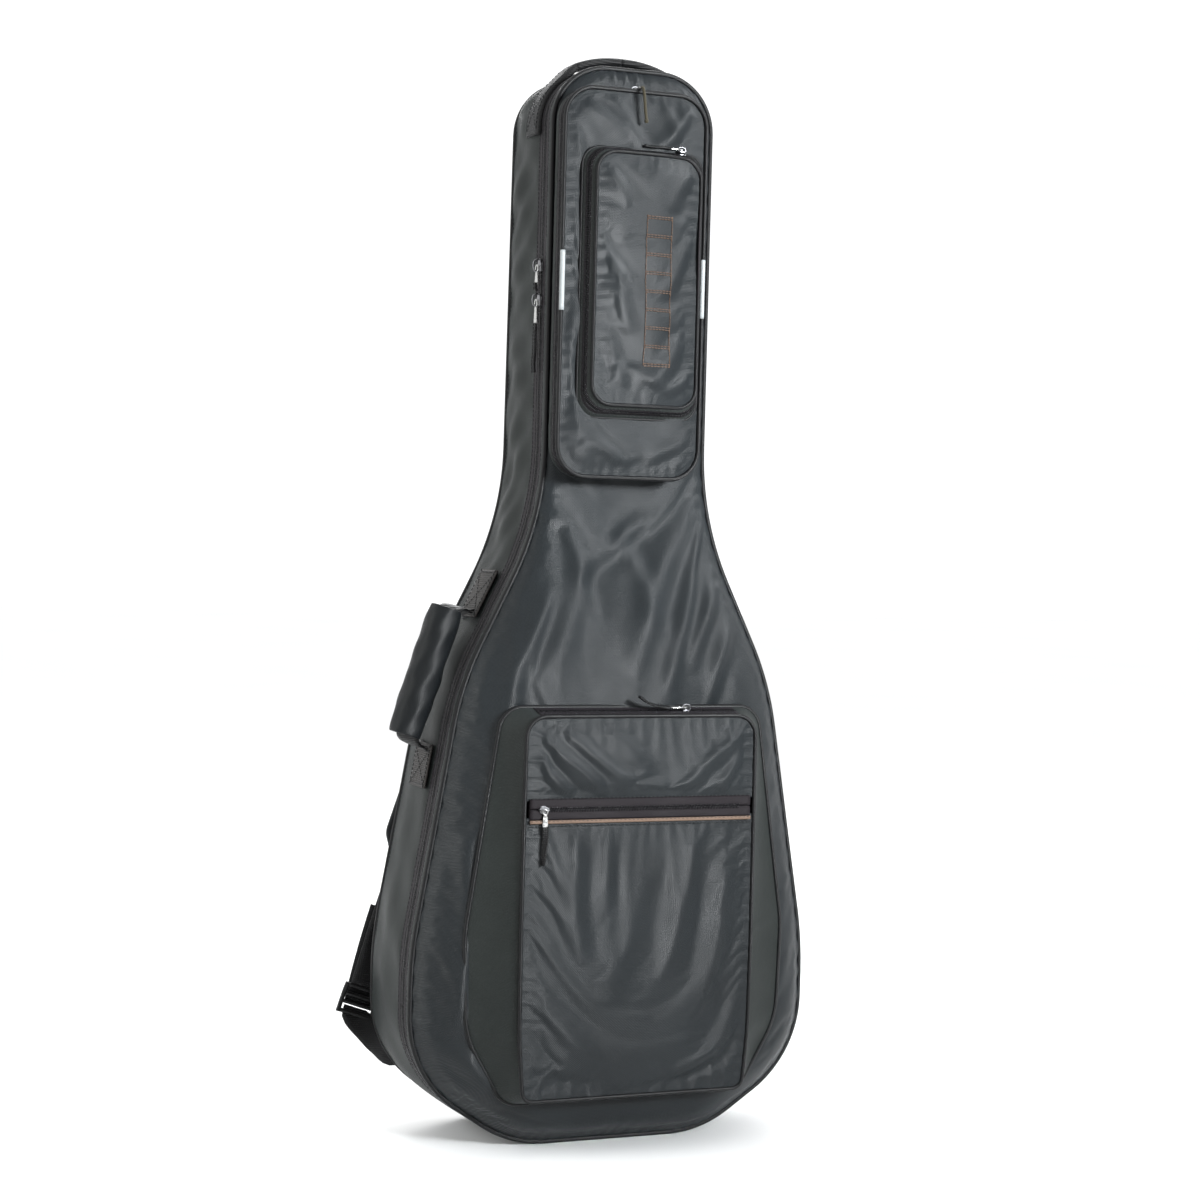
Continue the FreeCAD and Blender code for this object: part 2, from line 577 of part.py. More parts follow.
# ---------------------------------------------------------------- shoulder straps
STRAP_TOP = (38.0, 634.0 + PAD_T)  # x and z where a strap leaves the yoke, on the right
STRAP_END = (213.0, 136.0 + PAD_T)  # where its webbing reaches the buckle
STRAP_OFF = (12.0, 17.0)  # how far those two points stand off the back panel
STRAP_PAD_W, STRAP_PAD_T, STRAP_PAD_L = 60.0, 11.0, 390.0
STRAP_NECK_W, STRAP_NECK_L = 26.0, 65.0  # the pad narrows towards the yoke
WEB_W, STRAP_WEB_T = 30.0, 2.4
STRAP_BOW = 24.0  # how far the strap bows away from the back
BUCKLE_L, BUCKLE_W = 32.0, 21.0  # length and half-width


def strap_frame(sign):
    """Start, length along the chord, and three unit directions: along, across and away from the back."""
    a = V(sign * STRAP_TOP[0], back_y(STRAP_TOP[1]) + STRAP_OFF[0], STRAP_TOP[1])
    b = V(sign * STRAP_END[0], back_y(STRAP_END[1]) + STRAP_OFF[1], STRAP_END[1])
    u = b - a
    length = u.Length
    u.normalize()
    out = Y - u * u.y
    out.normalize()
    return a, u, out.cross(u), out, length


def in_strap_frame(solid, sign):
    a, u, across, out, _ = strap_frame(sign)
    m = FreeCAD.Matrix(u.x, across.x, out.x, a.x, u.y, across.y, out.y, a.y,
                       u.z, across.z, out.z, a.z, 0, 0, 0, 1)
    return moved(solid, m)


def strap_slice(sign, thickness, outline):
    """Part of the bowed strap, cut to an outline of distances along its chord and half-widths."""
    a, u, across, out, length = strap_frame(sign)
    radius = (length ** 2 / 4 + STRAP_BOW ** 2) / (2 * STRAP_BOW)
    centre = a + u * (length / 2) - out * (radius - STRAP_BOW)
    base = centre - across * 40
    tube = Part.makeCylinder(radius + thickness / 2, 80, base, across)
    tube = tube.cut(Part.makeCylinder(radius - thickness / 2, 82, base - across, across))
    loop = [V(s, w, -200) for s, w in outline] + [V(s, -w, -200) for s, w in reversed(outline)]
    shape = Part.Face(Part.makePolygon(loop + loop[:1])).extrude(V(0, 0, 400))
    return tube.common(in_strap_frame(shape, sign))


def build_straps():
    z0, z1 = STRAP_TOP[1] + 2, STRAP_TOP[1] + 72
    yoke = [(back_y(z0) + 0.05, z0), (back_y(z1) + 0.05, z1), (back_y(z1) + 4, z1), (back_y(z0) + 17, z0)]
    save("strap_yoke", plate(yoke, -62, 62))
    tabs = []
    half, neck, web = STRAP_PAD_W / 2, STRAP_NECK_W / 2, WEB_W / 2
    for sign, side in ((-1, "left"), (1, "right")):
        a, u, across, out, length = strap_frame(sign)
        outline = [(4.0, neck), (STRAP_NECK_L, half), (STRAP_PAD_L, half)]
        save(side + "_strap_pad", strap_slice(sign, STRAP_PAD_T, outline))
        save(side + "_strap_webbing", strap_slice(sign, STRAP_WEB_T, [(STRAP_PAD_L, web), (length, web)]))
        frame = box(length + 0.05, length + BUCKLE_L, -BUCKLE_W, BUCKLE_W, -2.6, 2.6)
        for s in (5, 13.5, 22):
            frame = frame.cut(box(length + s, length + s + 4.5, -16, 16, -5, 5))
        save(side + "_strap_buckle", in_strap_frame(frame, sign))
        tabs.append(lower_tab(sign))
        JOINTS[side + "_strap"] = ([round(c, 3) for c in a], [round(c, 5) for c in u])
    save("strap_lower_tabs", *tabs)


TAB_T = 2.4


def lower_tab(sign):
    """The webbing tab from the back seam up to a strap's buckle: a flat plate, wider at the seam."""
    a, u, across, out, length = strap_frame(sign)
    tip = a + u * (length + BUCKLE_L + 1.2)
    near, far = tip + across * 13, tip - across * 13
    if near.x * sign > far.x * sign:
        near, far = far, near
    low_seam = V(sign * 176, back_y(52) + 0.4, 52)
    normal = (far - near).cross(low_seam - near)
    normal.normalize()
    high_seam = V(sign * 202, 0, 94)
    high_seam.y = near.y - (normal.x * (high_seam.x - near.x) + normal.z * (high_seam.z - near.z)) / normal.y
    outline = Part.makePolygon([near, far, low_seam, high_seam, near])
    tab = Part.Face(outline).extrude(normal * (TAB_T if normal.y > 0 else -TAB_T))
    hull = behind(-80, -0.1)
    piping = ring(BODY, -PIPING - 0.1, 0, 20, 80).common(back_slab(-1.2, PIPING + 1.8))
    tab = tab.cut(hull.common(prism(inset(BODY, -0.1), -70, 100))).cut(piping)
    return max(tab.Solids, key=lambda s: s.Volume)


# Pivot line of the lid, in (x, z): just outside the outline at both ends of the sewn side and of the neck
LID_HINGE = ((210.5, 190.0), (86.5, 1012.0))
FLAP_HINGE_OUT = 1.8  # the flaps' pivot lines stand this far outside their pockets' sewn sides


def note_hinges():
    """Straight pivot lines of the lid and of the two flaps, each down its sewn right-hand side."""
    (x0, z0), (x1, z1) = LID_HINGE
    axis = V(x1 - x0, 0, z1 - z0)
    axis.normalize()
    JOINTS["front_lid"] = ([x0, SPLIT, z0 + PAD_T], [round(c, 5) for c in axis])
    JOINTS["neck_flap"] = ([NECK_BOX[1] + FLAP_HINGE_OUT, FRONT - NECK_ZIP, 850.0], [0, 0, 1])
    JOINTS["small_flap"] = ([SMALL_BOX[1] + FLAP_HINGE_OUT, FRONT - SMALL_ZIP, 850.0], [0, 0, 1])


build_rear_shell()
build_lid()
build_lower_pocket()
build_neck_pockets()
build_sliders()
build_carry_handle()
build_grab_handle()
build_straps()
note_hinges()
print(len(VOLUMES), "nodes,", round(sum(VOLUMES.values()) / 1e6, 3), "litres")
for joint in sorted(JOINTS):
    print(joint, JOINTS[joint])
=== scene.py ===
"""Looks of the padded gig bag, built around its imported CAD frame.

Everything here is worked out in millimetres in the CAD frame: X to the viewer's right, Y from the front
panel to the back panel, Z up. make() turns millimetres into metres.
"""

import json
import math

import bpy
import numpy as np
from mathutils import Matrix, Vector
from mathutils.kdtree import KDTree


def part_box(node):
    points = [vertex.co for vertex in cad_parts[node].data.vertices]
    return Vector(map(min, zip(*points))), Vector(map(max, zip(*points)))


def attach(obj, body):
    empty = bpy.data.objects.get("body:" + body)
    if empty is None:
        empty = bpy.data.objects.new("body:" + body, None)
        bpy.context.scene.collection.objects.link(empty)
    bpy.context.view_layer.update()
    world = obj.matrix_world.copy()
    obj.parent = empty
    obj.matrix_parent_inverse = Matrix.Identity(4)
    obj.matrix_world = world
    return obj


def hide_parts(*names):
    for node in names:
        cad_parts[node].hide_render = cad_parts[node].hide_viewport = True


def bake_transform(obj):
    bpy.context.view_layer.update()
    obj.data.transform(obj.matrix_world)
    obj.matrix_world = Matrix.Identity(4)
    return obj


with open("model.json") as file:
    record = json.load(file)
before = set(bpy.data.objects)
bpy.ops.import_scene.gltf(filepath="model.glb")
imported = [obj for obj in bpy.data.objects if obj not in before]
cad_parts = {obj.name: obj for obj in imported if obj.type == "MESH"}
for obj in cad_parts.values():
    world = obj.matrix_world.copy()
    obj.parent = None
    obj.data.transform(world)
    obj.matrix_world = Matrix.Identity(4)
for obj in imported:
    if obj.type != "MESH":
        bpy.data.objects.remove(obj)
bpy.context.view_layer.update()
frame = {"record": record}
JOINTS = {j["name"]: j for j in frame["record"]["behaviour"]["joints"]}
MM = 0.001


def low(node):
    return np.array(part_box(node)[0]) / MM


def high(node):
    return np.array(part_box(node)[1]) / MM


# ---------------------------------------------------------------- camera
CAM_AZIMUTH, CAM_DISTANCE, CAM_HEIGHT = 22.5, 2.489, 0.611
CAM_TARGET = Vector((0.004, 0.0, 0.539))
CAM_ROLL, CAM_LENS = 1.49, 73.1
SENSOR_WIDTH, NEAR_CLIP = 36.0, 0.05


def build_camera():
    az = math.radians(CAM_AZIMUTH)
    place = Vector((-CAM_DISTANCE * math.sin(az), -CAM_DISTANCE * math.cos(az), CAM_HEIGHT))
    data = bpy.data.cameras.new("camera")
    data.lens, data.sensor_width, data.clip_start = CAM_LENS, SENSOR_WIDTH, NEAR_CLIP
    camera = bpy.data.objects.new("camera", data)
    bpy.context.scene.collection.objects.link(camera)
    aim = (CAM_TARGET - place).to_track_quat("-Z", "Y").to_matrix()
    roll = Matrix.Rotation(math.radians(CAM_ROLL), 3, "Z")
    camera.matrix_world = Matrix.Translation(place) @ (aim @ roll).to_4x4()
    bpy.context.scene.camera = camera


build_camera()

# ---------------------------------------------------------------- sizes shared with the CAD
PAD_T, BAG_H = 3.0, 1062.0
FRONT = low("front_band_cover")[1]
SPLIT = JOINTS["front_lid_opening"]["pos_m"][1] / MM
BACK_LOW = high("back_panel_cover")[1]
BACK_HIGH = low("back_panel_cover")[1] + 1.2
TAPE_W, TAPE_T = 15.0, 0.9
CROWN_BODY, CROWN_NECK = 36.0, 8.0
LOWER_BASE, LOWER_ZIP, LOWER_FACE = 36.5, 50.0, 65.0
NECK_BASE, NECK_ZIP, NECK_FACE = 8.5, 19.0, 28.0
SMALL_FACE = 44.0
DOC_ZIP_Z = 341.0
HINGE_LOW, HINGE_HIGH, SEWN_X = 190.0, 440.0, 60.0  # the sewn stretch on the right
SHELL = 11.2  # cover and foam together
BAG = [(102, 0, 118), (210, 72, 112), (210, 190, 400), (165, 455, 300), (84, 620, 300), (84, BAG_H, 55)]
LOWER_OUT = [(126, 48, 26), (166, 118, 90), (169, 215, 160), (136, 434, 24)]
LOWER_IN = [(116, 56, 10), (121, 115, 300), (122, 215, 300), (121, 427, 20)]
NECK_BOX = (-83.0, 66.0, 660.0, 1037.0, 30.0)
SMALL_BOX = (-65.0, 62.0, 718.0, 980.0, 18.0)
SMALL_FRONT = (-55.0, 60.0, 730.0, 975.0, 20.0)  # the small pocket's face, smaller than its foot


def back_y(z):
    return BACK_LOW + (BACK_HIGH - BACK_LOW) * (z - PAD_T) / BAG_H


# ---------------------------------------------------------------- outlines
def both_halves(half):
    right = [(x, z + PAD_T, r) for x, z, r in half]
    return right + [(-x, z, r) for x, z, r in reversed(right)]


def box_corners(box):
    x0, x1, z0, z1, r = box
    return [(x, z + PAD_T, r) for x, z in ((x0, z0), (x1, z0), (x1, z1), (x0, z1))]


def trace(corners, arc_n=14, line_n=12):
    """Points round a closed outline, with the same number for each corner and each straight run."""
    arcs, n = [], len(corners)
    for i in range(n):
        a, b, c = [np.array(corners[(i + k) % n][:2], float) for k in (-1, 0, 1)]
        u, w = (a - b) / np.linalg.norm(a - b), (c - b) / np.linalg.norm(c - b)
        half = math.acos(np.clip(u @ w, -1, 1)) / 2
        r = corners[i][2]
        start, end = b + u * r / math.tan(half), b + w * r / math.tan(half)
        centre = b + (u + w) / np.linalg.norm(u + w) * r / math.sin(half)
        a0, a1 = [math.atan2(*(p - centre)[::-1]) for p in (start, end)]
        turn = a0 + ((a1 - a0 + math.pi) % (2 * math.pi) - math.pi) * np.linspace(0, 1, arc_n + 1)
        arcs.append(centre + r * np.stack([np.cos(turn), np.sin(turn)], 1))
    points = []
    for i in range(n):
        t = np.linspace(0, 1, line_n + 2)[1:-1, None]
        points += [arcs[i], arcs[i][-1] * (1 - t) + arcs[(i + 1) % n][0] * t]
    return np.concatenate(points)


class Loop:
    """A closed outline seen from the front, counter-clockwise: points, outward normals, lengths."""

    def __init__(self, points, step=None):
        if step:
            points = resample(closed_up(points), step)[:-1]
        self.p = points
        along = along_of(points, True)
        self.n = np.stack([along[:, 1], -along[:, 0]], 1)
        self.s = lengths(points)
        self.x, self.z = points.T
        self.out = points_at(self.n[:, 0], 0.0, self.n[:, 1])

    def at(self, inset, y):
        """The outline in space, moved in by inset, at depth y; both may vary along it."""
        q = self.p - self.n * np.reshape(inset, (-1, 1))
        return np.stack([q[:, 0], np.zeros(len(q)) + y, q[:, 1]], 1)

    def side(self, sign):
        """The left or right edge, from the bottom up."""
        q = self.p[self.n[:, 0] * sign > 0.03]
        return q[np.argsort(q[:, 1])]


def lengths(path):
    """Distance along a polyline at each of its points."""
    return np.concatenate([[0], np.cumsum(np.linalg.norm(np.diff(path, axis=0), axis=1))])


def closed_up(path):
    """A ring's points with the first repeated at the end."""
    return np.vstack([path, path[:1]])


def points_at(x, y, z):
    """Points from three coordinates, any of which may be a single number."""
    return np.stack(np.broadcast_arrays(x, y, z), -1).astype(float)


def resample(path, step):
    """Even points along a polyline of any dimension, both ends kept."""
    s = lengths(path)
    t = np.linspace(0, s[-1], max(int(round(s[-1] / step)), 2) + 1)
    return np.stack([np.interp(t, s, path[:, k]) for k in range(path.shape[1])], 1)


def unit(v):
    return v / np.maximum(np.linalg.norm(v, axis=-1, keepdims=True), 1e-9)


def along_of(path, closed=False):
    """The direction of a path at each point."""
    if closed:
        return unit(np.roll(path, -1, 0) - np.roll(path, 1, 0))
    return unit(np.gradient(path, axis=0))


def ease(t):
    t = np.clip(t, 0, 1)
    return t * t * (3 - 2 * t)


BAG_LOOP = Loop(trace(both_halves(BAG)), 4.0)
LOWER_OUTER, LOWER_INNER = Loop(trace(both_halves(LOWER_OUT))), Loop(trace(both_halves(LOWER_IN)))
NECK_LOOP = Loop(trace(box_corners(NECK_BOX)), 4.0)


# ---------------------------------------------------------------- materials
class Nodes:
    """Short-hand for building a material's node tree."""

    def __init__(self, name):
        self.material = bpy.data.materials.new(name)
        self.material.use_nodes = True
        self.tree = self.material.node_tree
        self.shader = self.tree.nodes["Principled BSDF"]
        self.where = self.tree.nodes.new("ShaderNodeTexCoord").outputs["Object"]

    def add(self, kind, inputs=(), **settings):
        node = self.tree.nodes.new("ShaderNode" + kind)
        for key, value in settings.items():
            setattr(node, key, value)
        for key, value in dict(inputs).items():
            if isinstance(value, bpy.types.NodeSocket):
                self.tree.links.new(value, node.inputs[key])
            else:
                node.inputs[key].default_value = value
        return node

    def math(self, kind, a, b=0.0, c=0.0):
        return self.add("Math", {0: a, 1: b, 2: c}, operation=kind).outputs[0]

    def noise(self, scale, detail=3.0, stretch=(1, 1, 1)):
        spot = self.add("Mapping", {"Vector": self.where, "Scale": stretch}).outputs[0]
        return self.add("TexNoise", {"Vector": spot, "Scale": scale, "Detail": detail}).outputs["Fac"]

    def ramp(self, value, low_colour, high_colour, start=0.3, end=0.7):
        node = self.add("ValToRGB", {"Fac": value})
        node.color_ramp.elements[0].position, node.color_ramp.elements[1].position = start, end
        node.color_ramp.elements[0].color = (*low_colour, 1)
        node.color_ramp.elements[1].color = (*high_colour, 1)
        return node.outputs["Color"]

    def spread(self, value, lowest, highest):
        return self.add("MapRange", {"Value": value, "From Min": 0.3, "From Max": 0.7, "To Min": lowest,
                                     "To Max": highest}).outputs[0]

    def link(self, value, socket):
        self.tree.links.new(value, self.shader.inputs[socket])

    def bump(self, height, strength, distance, below=None):
        inputs = {"Height": height, "Strength": strength, "Distance": distance}
        if below:
            inputs["Normal"] = below
        return self.add("Bump", inputs).outputs[0]


def shade(colour, k):
    return tuple(c * k for c in colour)


def threads(n, pitch, weave):
    """Height of a weave: plain, twill or rib, with threads about pitch millimetres apart."""
    x, y, z = n.add("SeparateXYZ", {"Vector": n.where}).outputs
    turn = 2 * math.pi / (pitch * MM)
    flat = n.math("ADD", x, y)
    up = n.math("SINE", n.math("MULTIPLY", z, turn))
    over = n.math("SINE", n.math("MULTIPLY", flat, turn))
    if weave == "twill":
        slant = n.math("SINE", n.math("MULTIPLY", n.math("ADD", flat, z), turn))
        return n.math("ADD", slant, n.math("MULTIPLY", up, 0.35))
    if weave == "rib":
        return n.math("ADD", up, n.math("MULTIPLY", over, 0.3))
    return n.math("MULTIPLY", up, over)


def cloth(name, colour, roughness=0.5, pitch=1.0, weave="plain", depth=0.00012, vary=0.25, sheen=0.2,
          specular=0.5, tint=(0.6, 0.7, 0.8), worn=0.0):
    """A woven fabric: threads, patchy colour, uneven gloss and small rumples."""
    n = Nodes(name)
    patch = n.noise(9.0, 4.0)
    base = n.ramp(patch, shade(colour, 1 - vary), shade(colour, 1 + vary))
    fibre = n.noise(900.0, 2.0)
    mix = n.add("Mix", {0: n.spread(fibre, 0.0, 0.35), 6: base, 7: (*shade(colour, 1.8), 1)},
                data_type="RGBA")
    colour_out = mix.outputs[2]
    if worn:
        rubbed = n.ramp(n.noise(35.0, 6.0), (0, 0, 0), (1, 1, 1), 0.58, 0.72)
        fade = n.math("MULTIPLY", rubbed, worn)
        colour_out = n.add("Mix", {0: fade, 6: colour_out, 7: (*shade(colour, 2.6), 1)},
                           data_type="RGBA").outputs[2]
    n.link(colour_out, "Base Color")
    n.link(n.spread(n.noise(14.0, 3.0), roughness - 0.06, roughness + 0.08), "Roughness")
    n.shader.inputs["Specular IOR Level"].default_value = specular
    n.shader.inputs["Sheen Weight"].default_value = sheen
    n.shader.inputs["Sheen Roughness"].default_value = 0.45
    n.shader.inputs["Sheen Tint"].default_value = (*tint, 1)
    rumple = n.bump(n.noise(60.0, 4.0), 0.25, 0.0015)
    n.link(n.bump(threads(n, pitch, weave), 0.6, depth, rumple), "Normal")
    return n.material


def metal(name, colour, roughness):
    n = Nodes(name)
    scuff = n.noise(420.0, 5.0)
    n.link(n.ramp(scuff, shade(colour, 0.7), shade(colour, 1.1)), "Base Color")
    n.link(n.spread(scuff, roughness - 0.08, roughness + 0.14), "Roughness")
    n.shader.inputs["Metallic"].default_value = 1.0
    n.link(n.bump(n.noise(1500.0, 2.0), 0.25, 0.0002), "Normal")
    return n.material


def moulded(name, colour, roughness, grain=1400.0, depth=0.0003):
    n = Nodes(name)
    n.link(n.ramp(n.noise(40.0, 4.0), shade(colour, 0.75), shade(colour, 1.3)), "Base Color")
    n.link(n.spread(n.noise(160.0, 3.0), roughness - 0.06, roughness + 0.1), "Roughness")
    n.shader.inputs["Specular IOR Level"].default_value = 0.3
    n.link(n.bump(n.noise(grain, 3.0), 0.4, depth), "Normal")
    return n.material


NYLON = cloth("satin_nylon", (0.0066, 0.0086, 0.0100), 0.40, 1.5, "twill", 0.00016, 0.2, 0.02, 0.28)
GUSSET = cloth("gusset_nylon", (0.0155, 0.0178, 0.0168), 0.46, 1.5, "twill", 0.00010, 0.2, 0.03, 0.12)
LINING = cloth("lining_cloth", (0.013, 0.0135, 0.016), 0.7, 1.2, "plain", 0.0001, 0.2, 0.05, 0.2)
PIPING = cloth("piping_cord", (0.0035, 0.0036, 0.0040), 0.42, 1.1, "rib", 0.0001, 0.15, 0.01, 0.22, worn=0.1)
TAPE = cloth("zip_tape_cloth", (0.0072, 0.0050, 0.0066), 0.62, 1.1, "rib", 0.00014, 0.15, 0.02, 0.2)
WEBBING = cloth("webbing_weave", (0.0045, 0.0045, 0.0048), 0.55, 2.0, "rib", 0.0003, 0.2, 0.02, 0.25,
                worn=0.12)
PATCH = cloth("patch_webbing", (0.024, 0.021, 0.0195), 0.6, 2.0, "rib", 0.0003, 0.25, 0.03, 0.25, worn=0.2)
WRAP = cloth("handle_wrap_cloth", (0.0038, 0.0046, 0.0052), 0.40, 1.3, "twill", 0.0001, 0.2, 0.02, 0.20,
             worn=0.08)
STRAP = cloth("strap_cloth", (0.0075, 0.0085, 0.0092), 0.5, 1.4, "twill", 0.0001, 0.15, 0.03, 0.3)
TAN = cloth("tan_tape", (0.125, 0.082, 0.058), 0.6, 0.9, "rib", 0.0001, 0.15, 0.05, 0.25)
TAN_THREAD = cloth("tan_thread", (0.095, 0.055, 0.034), 0.5, 0.6, "rib", 0.0001, 0.3, 0.05, 0.3)
THREAD = cloth("dark_thread", (0.0085, 0.0092, 0.0100), 0.45, 0.7, "rib", 0.0001, 0.2, 0.05, 0.3)
GLOW = cloth("reflective_tape", (0.25, 0.265, 0.27), 0.4, 0.9, "plain", 0.0001, 0.08, 0.02, 0.4)
CORD = cloth("olive_cord", (0.040, 0.034, 0.020), 0.6, 0.9, "twill", 0.0003, 0.25, 0.05, 0.25)
COIL = moulded("nylon_coil", (0.0055, 0.0048, 0.0062), 0.30, 2500.0, 0.0001)
RUBBER = moulded("wear_rubber", (0.005, 0.005, 0.0053), 0.7, 900.0, 0.0004)
BUCKLE = moulded("buckle_plastic", (0.005, 0.005, 0.0053), 0.40)
STEEL = metal("slider_metal", (0.22, 0.22, 0.23), 0.32)
BRIGHT = metal("pull_metal", (0.52, 0.52, 0.51), 0.26)


# ---------------------------------------------------------------- meshes
def make(name, verts, faces, material, body, slot, replaces=(), thick=0.0, smooth=True, subdivide=0):
    """One finished piece: a mesh object that rides on a body. thick is a cloth's own thickness."""
    mesh = bpy.data.meshes.new(name)
    mesh.from_pydata((np.asarray(verts) * MM).tolist(), [], [list(f) for f in faces])
    mesh.validate()
    mesh.polygons.foreach_set("use_smooth", [smooth] * len(mesh.polygons))
    mesh.materials.append(material)
    piece = bpy.data.objects.new(name, mesh)
    bpy.context.scene.collection.objects.link(piece)
    if subdivide:
        modifier = piece.modifiers.new("subdivision", "SUBSURF")
        modifier.levels = modifier.render_levels = subdivide
    if thick:
        modifier = piece.modifiers.new("thickness", "SOLIDIFY")
        modifier.thickness, modifier.offset = thick * MM, -1.0
    if replaces:
        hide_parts(*replaces)
    if body:
        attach(piece, body)
    return piece


def quads(rows, cols, wrap_rows=False, wrap_cols=False):
    i = np.arange(rows if wrap_rows else rows - 1)[:, None]
    j = np.arange(cols if wrap_cols else cols - 1)[None, :]
    a, b = i * cols + j, i * cols + (j + 1) % cols
    c, d = (i + 1) % rows * cols + (j + 1) % cols, (i + 1) % rows * cols + j
    return np.stack([a, b, c, d], -1).reshape(-1, 4)


def capped(rows, cols):
    """Faces of a tube of rows by cols points, with a cap at each end."""
    last = (rows - 1) * cols
    return quads(rows, cols, False, True).tolist() + [list(range(cols))[::-1], list(range(last, last + cols))]


def surface(name, grid, material, body, slot, wrap_rows=False, wrap_cols=False, flip=False, **more):
    """A piece from a grid of points, rows by columns."""
    faces = quads(grid.shape[0], grid.shape[1], wrap_rows, wrap_cols)
    return make(name, grid.reshape(-1, 3), faces[:, ::-1] if flip else faces, material, body, slot, **more)


def cover(name, grid, material, body, thick=1.0, **more):
    """A nylon cover: a grid of points with the cloth's own thickness, smoothed once."""
    return surface(name, grid, material, body, "satin_nylon", thick=thick, subdivide=1, **more)


class Soup:
    """Many small shapes gathered into one piece."""

    def __init__(self):
        self.verts, self.faces, self.count = [], [], 0

    def add(self, verts, faces):
        verts = np.asarray(verts).reshape(-1, 3)
        self.verts.append(verts)
        self.faces += [[int(v) + self.count for v in face] for face in faces]
        self.count += len(verts)

    def copies(self, verts, faces, places, along, up):
        """One shape repeated: its X along, its Z up, at each place."""
        across = np.cross(up, along)
        shape = np.asarray(verts, float)
        for place, axes in zip(places, np.stack([along, across, up], 1)):
            self.add(place + shape @ axes, faces)

    def build(self, name, material, body, slot, **more):
        return make(name, np.concatenate(self.verts), self.faces, material, body, slot, **more)


def prong(length, width, height, sides=6):
    """A little lozenge along X, round in section, for a stitch or a zip tooth."""
    turn = np.arange(sides) * 2 * math.pi / sides
    verts = [(x * length, math.cos(a) * width / 2 * k, math.sin(a) * height / 2 * k)
             for x, k in ((-0.5, 0.35), (-0.28, 1.0), (0.28, 1.0), (0.5, 0.35)) for a in turn]
    return verts, capped(4, sides)


STITCH = prong(3.1, 0.9, 0.8)
TOOTH = prong(3.3, 1.05, 1.3)


def stitch(soup, path, up, closed=False, pitch=4.4, shape=STITCH, lift=0.15):
    """A row of stitches on a path; up is one direction or one per point."""
    up = np.broadcast_to(np.asarray(up, float), path.shape)
    data = np.hstack([path, up])
    if closed:
        data = closed_up(data)
    s = lengths(data[:, :3])
    t = np.arange(pitch / 2, s[-1], pitch)
    data = np.stack([np.interp(t, s, data[:, k]) for k in range(6)], 1)
    along = along_of(data[:, :3])
    up = unit(data[:, 3:] - along * (data[:, 3:] * along).sum(1, keepdims=True))
    soup.copies(*shape, data[:, :3] + up * lift, along, up)


EDGE_THIN = 0.55  # a band's thickness at its very edge, as a share of the rest


def tube(path, radius, a_dir=None, b_dir=None, sides=10, closed=False):
    """A grid round a path; without directions the frame is carried along it. radius may vary."""
    if a_dir is None:
        along = along_of(path, closed)
        a = np.cross(along[0], (0.3, 0.5, 0.81))
        carried = []
        for d in along:
            a = a - d * (a @ d)
            a /= np.linalg.norm(a)
            carried.append(a)
        a_dir = np.array(carried)
        b_dir = np.cross(along, a_dir)
    turn = np.arange(sides) * 2 * math.pi / sides
    a, b = np.broadcast_to(a_dir, path.shape)[:, None], np.broadcast_to(b_dir, path.shape)[:, None]
    size = np.reshape(radius, (-1, 1, 1))
    return path[:, None] + size * (np.cos(turn)[None, :, None] * a + np.sin(turn)[None, :, None] * b)


def add_tube(soup, path, radius, closed=False, sides=10, **directions):
    grid = tube(path, radius, sides=sides, closed=closed, **directions)
    soup.add(grid, quads(len(grid), sides, True, True) if closed else capped(len(grid), sides))


def add_ribbon(soup, path, side, up, width, thick, bulge=0.0, cols=7):
    """A closed flat band along a path; side and up are one direction or one per point."""
    side, up = [np.broadcast_to(np.asarray(d, float), path.shape) for d in (side, up)]
    width = np.broadcast_to(width, len(path))[:, None]
    across = [-0.5 + k / (cols - 1) for k in range(cols)]
    rows = []
    for w, h in [(w, 0.5) for w in across] + [(-w, -0.5) for w in across]:
        dome = bulge * (1 - (2 * w) ** 2) * (h > 0)
        thin = EDGE_THIN if abs(w) > 0.49 else 1
        rows.append(path + side * width * w + up * (h * thick * thin + dome))
    soup.add(np.stack(rows, 1), capped(len(path), 2 * cols))


# ---------------------------------------------------------------- wrinkles
def wavy(u, v, length, angle, seed, warp=0.35):
    """Smooth folds of about one wavelength across a direction, wandering and fading; from -1 to 1."""
    r = np.random.default_rng(seed)
    ph = r.uniform(0, 6.28, 6)
    c, s = math.cos(math.radians(angle)), math.sin(math.radians(angle))
    a, b = u * c + v * s, v * c - u * s
    a = a + warp * length * (np.sin(b / (2.1 * length) + ph[0]) + 0.6 * np.sin(b / (0.9 * length) + ph[1]))
    turn = 2 * math.pi * a / length
    fold = np.sin(turn + ph[2]) + 0.5 * np.sin(0.53 * turn + ph[3])
    fade = 0.55 + 0.45 * np.sin(b / (1.3 * length) + ph[4]) * np.sin(a / (1.7 * length) + ph[5])
    return fold / 1.5 * fade


def crumple(u, v, seed, size=60.0):
    """Broad flat facets that meet in fine creases, in a few crossing directions."""
    r = np.random.default_rng(seed + 100)
    total = 0.0
    for k in range(5):
        angle, span = math.radians(r.uniform(0, 180)), size * r.uniform(0.8, 1.5)
        a = u * math.cos(angle) + v * math.sin(angle)
        b = v * math.cos(angle) - u * math.sin(angle)
        a = a / span + 0.30 * np.sin(b / span * 1.3 + r.uniform(0, 6)) + r.uniform(0, 6)
        tent = np.abs((a % 2.0) - 1.0)
        fade = 0.5 + 0.5 * np.sin(b / span * 0.9 + r.uniform(0, 6)) * np.sin(a * 1.1 + r.uniform(0, 6))
        total = total + (0.5 - np.sqrt(tent ** 2 + 0.004)) * fade
    return total * 1.1


